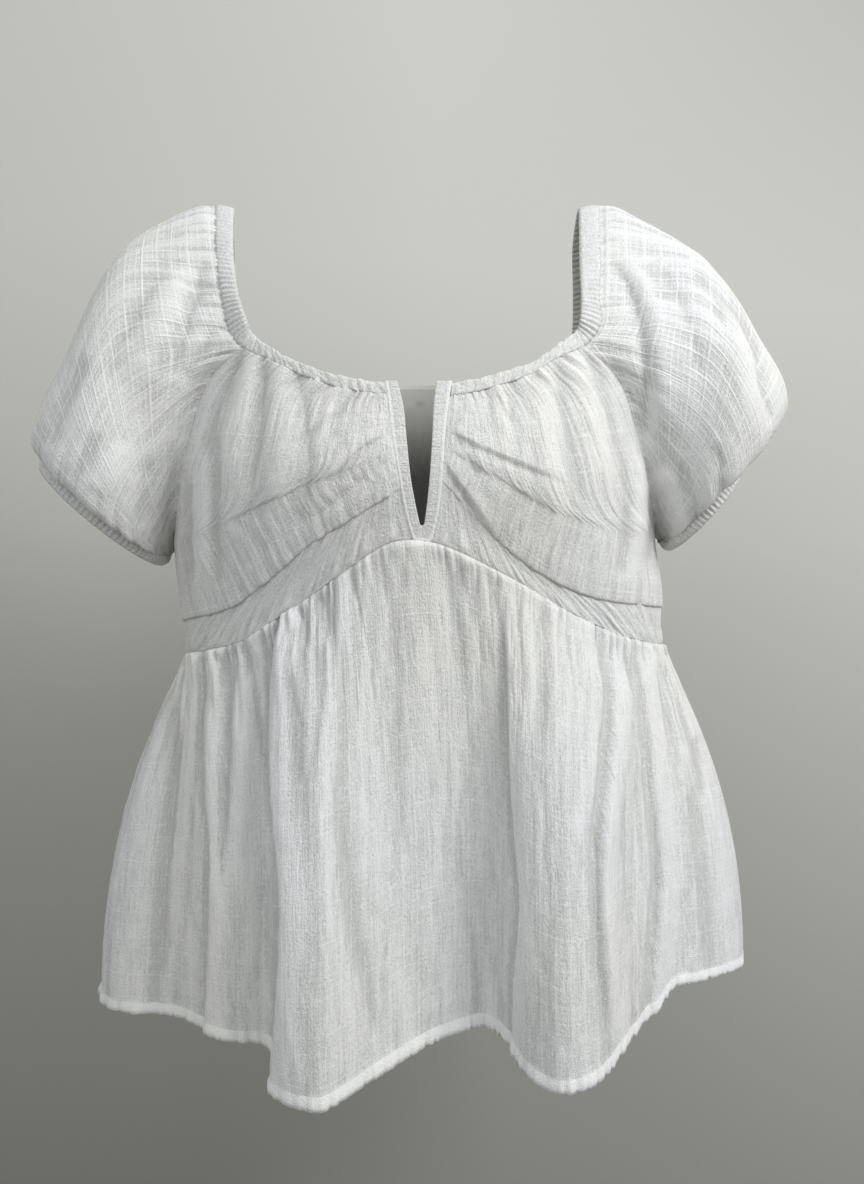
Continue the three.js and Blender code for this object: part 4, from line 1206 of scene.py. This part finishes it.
class BLOUSE_OT_cuffs(bpy.types.Operator):
    """Make the narrow elastic cuffs"""

    bl_idname = "blouse.cuffs"
    bl_label = "Cuffs"

    def execute(self, context):
        sizes, colours = settings(context)
        for side, rings in ((LEFT, SLEEVE_LEFT), (RIGHT, SLEEVE_RIGHT)):
            ring = rings[-1]
            share, v = np.linspace(0, 1, 481), np.linspace(-0.06, 1, 8)[:, None]
            turn = share if side < 0 else 1 - share
            line = ring_points(ring, turn)
            axis = np.cross([ring[2], 0, ring[3]], [ring[4], ring[5], ring[6]])
            axis *= -np.sign(axis[2]) / np.linalg.norm(axis)
            points = line + (CUFF_WIDTH * v)[..., None] * axis
            facing = line - [ring[0], 0, ring[1]]
            facing /= np.linalg.norm(facing, axis=1, keepdims=True)
            around = lengths(points, 1)
            count = round(around[-1] / sizes.rib_pitch)
            ribs = 0.5 + 0.5 * np.cos(2 * np.pi * count * share + 0.6 * np.sin(14 * np.pi * share))
            tube = np.sin(np.pi * np.clip(v, 0.05, 0.97)) ** 0.5
            height = 0.3 + 1.2 * tube + 1.1 * sizes.rib_height * ribs * tube
            uneven = rough(np.round(60 * share, 3) % 60, 2 * v, 13)
            height = height + 0.3 * uneven * np.sin(np.pi * share) ** 0.2
            points += facing * height[..., None]
            name = "Cuff" + SIDE_NAMES[side]
            piece = cloth_piece(name, points, sizes.casing_wall, double_gauze(colours), closed=True)
            declare(piece, "cuff_" + NODE_NAMES[side])
        return {"FINISHED"}


class BLOUSE_OT_skirt(bpy.types.Operator):
    """Make the front and back of the skirt, gathered onto the seam and hemmed"""

    bl_idname = "blouse.skirt"
    bl_label = "Skirt panels"

    def execute(self, context):
        sizes, colours = settings(context)
        parts = (
            ("SkirtFront", "skirt_front", 0, len(HEM_FRONT) - 1, 391),
            ("SkirtBack", "skirt_back", len(HEM_FRONT) - 1, len(HEM_RING), 281),
        )
        for name, node_name, start, end, columns in parts:
            step = (end - start) / (columns - 1)
            at = np.linspace(start - step, end + step, columns + 2)
            v = np.linspace(0, 1, 106)
            grid_v, grid_at = np.meshgrid(v, at, indexing="ij")
            points, seam = skirt_points(grid_at.ravel(), grid_v.ravel())
            points = points.reshape(len(v), columns + 2, 3)
            facing = outward(points)[:, 1:-1]
            points = points[:, 1:-1]
            angle = seam.reshape(len(v), columns + 2)[:, 1:-1]
            waist = SEAM_PER_DEGREE * angle + 0 * points[..., 0]
            steps = np.linalg.norm(np.diff(points[-1], axis=0), axis=1)
            hem = np.concatenate([[0], np.cumsum(steps)])
            hem = hem * np.ones((len(v), 1))
            below = lengths(points, 0)[:, None] + 0 * hem
            above = below[-1] - below
            if start == 0:
                dense = 0.4 + 0.6 * np.maximum(
                    ease(angle, -86, -70) * ease(-angle, 12, 26), ease(angle, 38, 54) * ease(-angle, -88, -78)
                )
            else:
                dense = 0.8 + 0 * angle
            sides = ease(at[1:-1], start, start + 0.25) * ease(-at[1:-1], -end, 0.25 - end)
            height = gathered([
                (sizes.waist_gather * dense, waist, below, 58, 7, 51),
                (1.15 * sizes.waist_gather * dense, waist, below, 26, 4.4, 53),
                (1.1 * sizes.waist_gather * dense, waist, below, 150, 15, 54),
                (1.5, waist, above, 150, 21, 57),
            ])
            height += sizes.crinkle * crinkle(0.8 * hem, below, 130)
            height += 0.5 * gathers(hem, above, reach=16, pitch=7, seed=58)
            if start == 0:
                height += folds(points, SKIRT_FOLDS, np.ones(points.shape[:2]))
            height *= sides * ease(below, -0.8, 1.6)
            band = ease(sizes.hem + 0.8 - above, 0, 1.4)
            height += 0.8 * band * sides - 0.7 * np.exp(-(((above - sizes.hem - 1) / 1.1) ** 2)) * sides
            height += 2.4 * band * sides * gathers(hem, 0 * hem, reach=9, pitch=3.4, seed=61)
            points = points + facing * height[..., None]
            points[..., 2] += 0.6 * rough(hem / 13, 0 * hem, 62) * ramp(-above, -20, 0) * sides
            body, turned = plain_gauze(colours), hem_gauze(colours)
            piece = cloth_piece(name, points, sizes.cloth_wall, body, hem=turned, relief_for_painted_shade=height)
            declare(piece, node_name)
        return {"FINISHED"}


class BLOUSE_OT_studio(bpy.types.Operator):
    """Set out the floor, the wall behind, the lights and the camera"""

    bl_idname = "blouse.studio"
    bl_label = "Studio"

    def execute(self, context):
        colours = settings(context)[1]
        scene = context.scene
        scene.view_settings.view_transform = "Standard"
        for name, spin, place, size in (
            ("StudioFloor", 0, (0, 0, -0.95), 3.0),
            ("StudioWall", math.pi / 2, (0, 0.3, -0.2), 1.5),
        ):
            made = bmesh.new()
            bmesh.ops.create_grid(made, x_segments=8, y_segments=8, size=size)
            bmesh.ops.rotate(made, verts=made.verts, matrix=Matrix.Rotation(spin, 3, "X"))
            bmesh.ops.translate(made, verts=made.verts, vec=place)
            mesh = bpy.data.meshes.new(name)
            made.to_mesh(mesh)
            made.free()
            mesh.materials.append(painted_shade_backdrop(name, colours.studio))
            plane = bpy.data.objects.new(name, mesh)
            scene.collection.objects.link(plane)

        world = bpy.data.worlds.new("Studio")
        world.use_nodes = True
        world.node_tree.nodes["Background"].inputs["Color"].default_value = (0.95, 0.98, 1.0, 1)
        world.node_tree.nodes["Background"].inputs["Strength"].default_value = 0.55
        scene.world = world
        for name, place, aim, size, power in (
            ("Key", (1.1, -0.85, 0.72), (0.03, 0, -0.22), 0.8, 20.0),
            ("Fill", (-0.6, -1.3, 0.6), (0, 0, -0.2), 1.3, 5.2),
            ("Back", (0.4, 1.6, 0.6), (0, 0, -0.25), 1.2, 12.0),
        ):
            lamp = bpy.data.lights.new(name, "AREA")
            lamp.size = size
            lamp.energy = power
            stand = bpy.data.objects.new(name, lamp)
            stand.location = place
            stand.rotation_euler = (Vector(aim) - Vector(place)).to_track_quat("-Z", "Y").to_euler()
            scene.collection.objects.link(stand)

        lens = bpy.data.cameras.new("FrontStand")
        lens.sensor_width = SENSOR
        lens.lens = LENS
        lens.clip_start = 0.01
        camera = bpy.data.objects.new("FrontStand", lens)
        camera.location = (EYE_X * MM, -EYE_DISTANCE * MM, EYE_Z * MM)
        camera.rotation_euler = (math.pi / 2, 0, 0)
        scene.collection.objects.link(camera)
        scene.camera = camera
        return {"FINISHED"}


STEPS = (
    BLOUSE_OT_neck,
    BLOUSE_OT_bust,
    BLOUSE_OT_midriff,
    BLOUSE_OT_back,
    BLOUSE_OT_sleeves,
    BLOUSE_OT_cuffs,
    BLOUSE_OT_skirt,
    BLOUSE_OT_studio,
)


class BLOUSE_PT_pieces(bpy.types.Panel):
    """Sizes, colours and pieces of the blouse"""

    bl_label = "Peasant Blouse"
    bl_idname = "BLOUSE_PT_pieces"
    bl_space_type = "VIEW_3D"
    bl_region_type = "UI"
    bl_category = "Blouse"

    def draw(self, context):
        for group in (context.scene.blouse_sizes, context.scene.blouse_colours):
            for name in group.__annotations__:
                self.layout.prop(group, name)
        for step in STEPS:
            self.layout.operator(step.bl_idname)


CLASSES = (BlouseSizes, BlouseColours, *STEPS, BLOUSE_PT_pieces)


def register():
    for made in CLASSES:
        bpy.utils.register_class(made)
    bpy.types.Scene.blouse_sizes = PointerProperty(type=BlouseSizes)
    bpy.types.Scene.blouse_colours = PointerProperty(type=BlouseColours)


def unregister():
    del bpy.types.Scene.blouse_sizes, bpy.types.Scene.blouse_colours
    for made in reversed(CLASSES):
        bpy.utils.unregister_class(made)


def main():
    register()
    for step in STEPS:
        family, name = step.bl_idname.split(".")
        if getattr(getattr(bpy.ops, family), name)() != {"FINISHED"}:
            raise RuntimeError(step.bl_label + " was not finished")


if __name__ == "__main__":
    main()
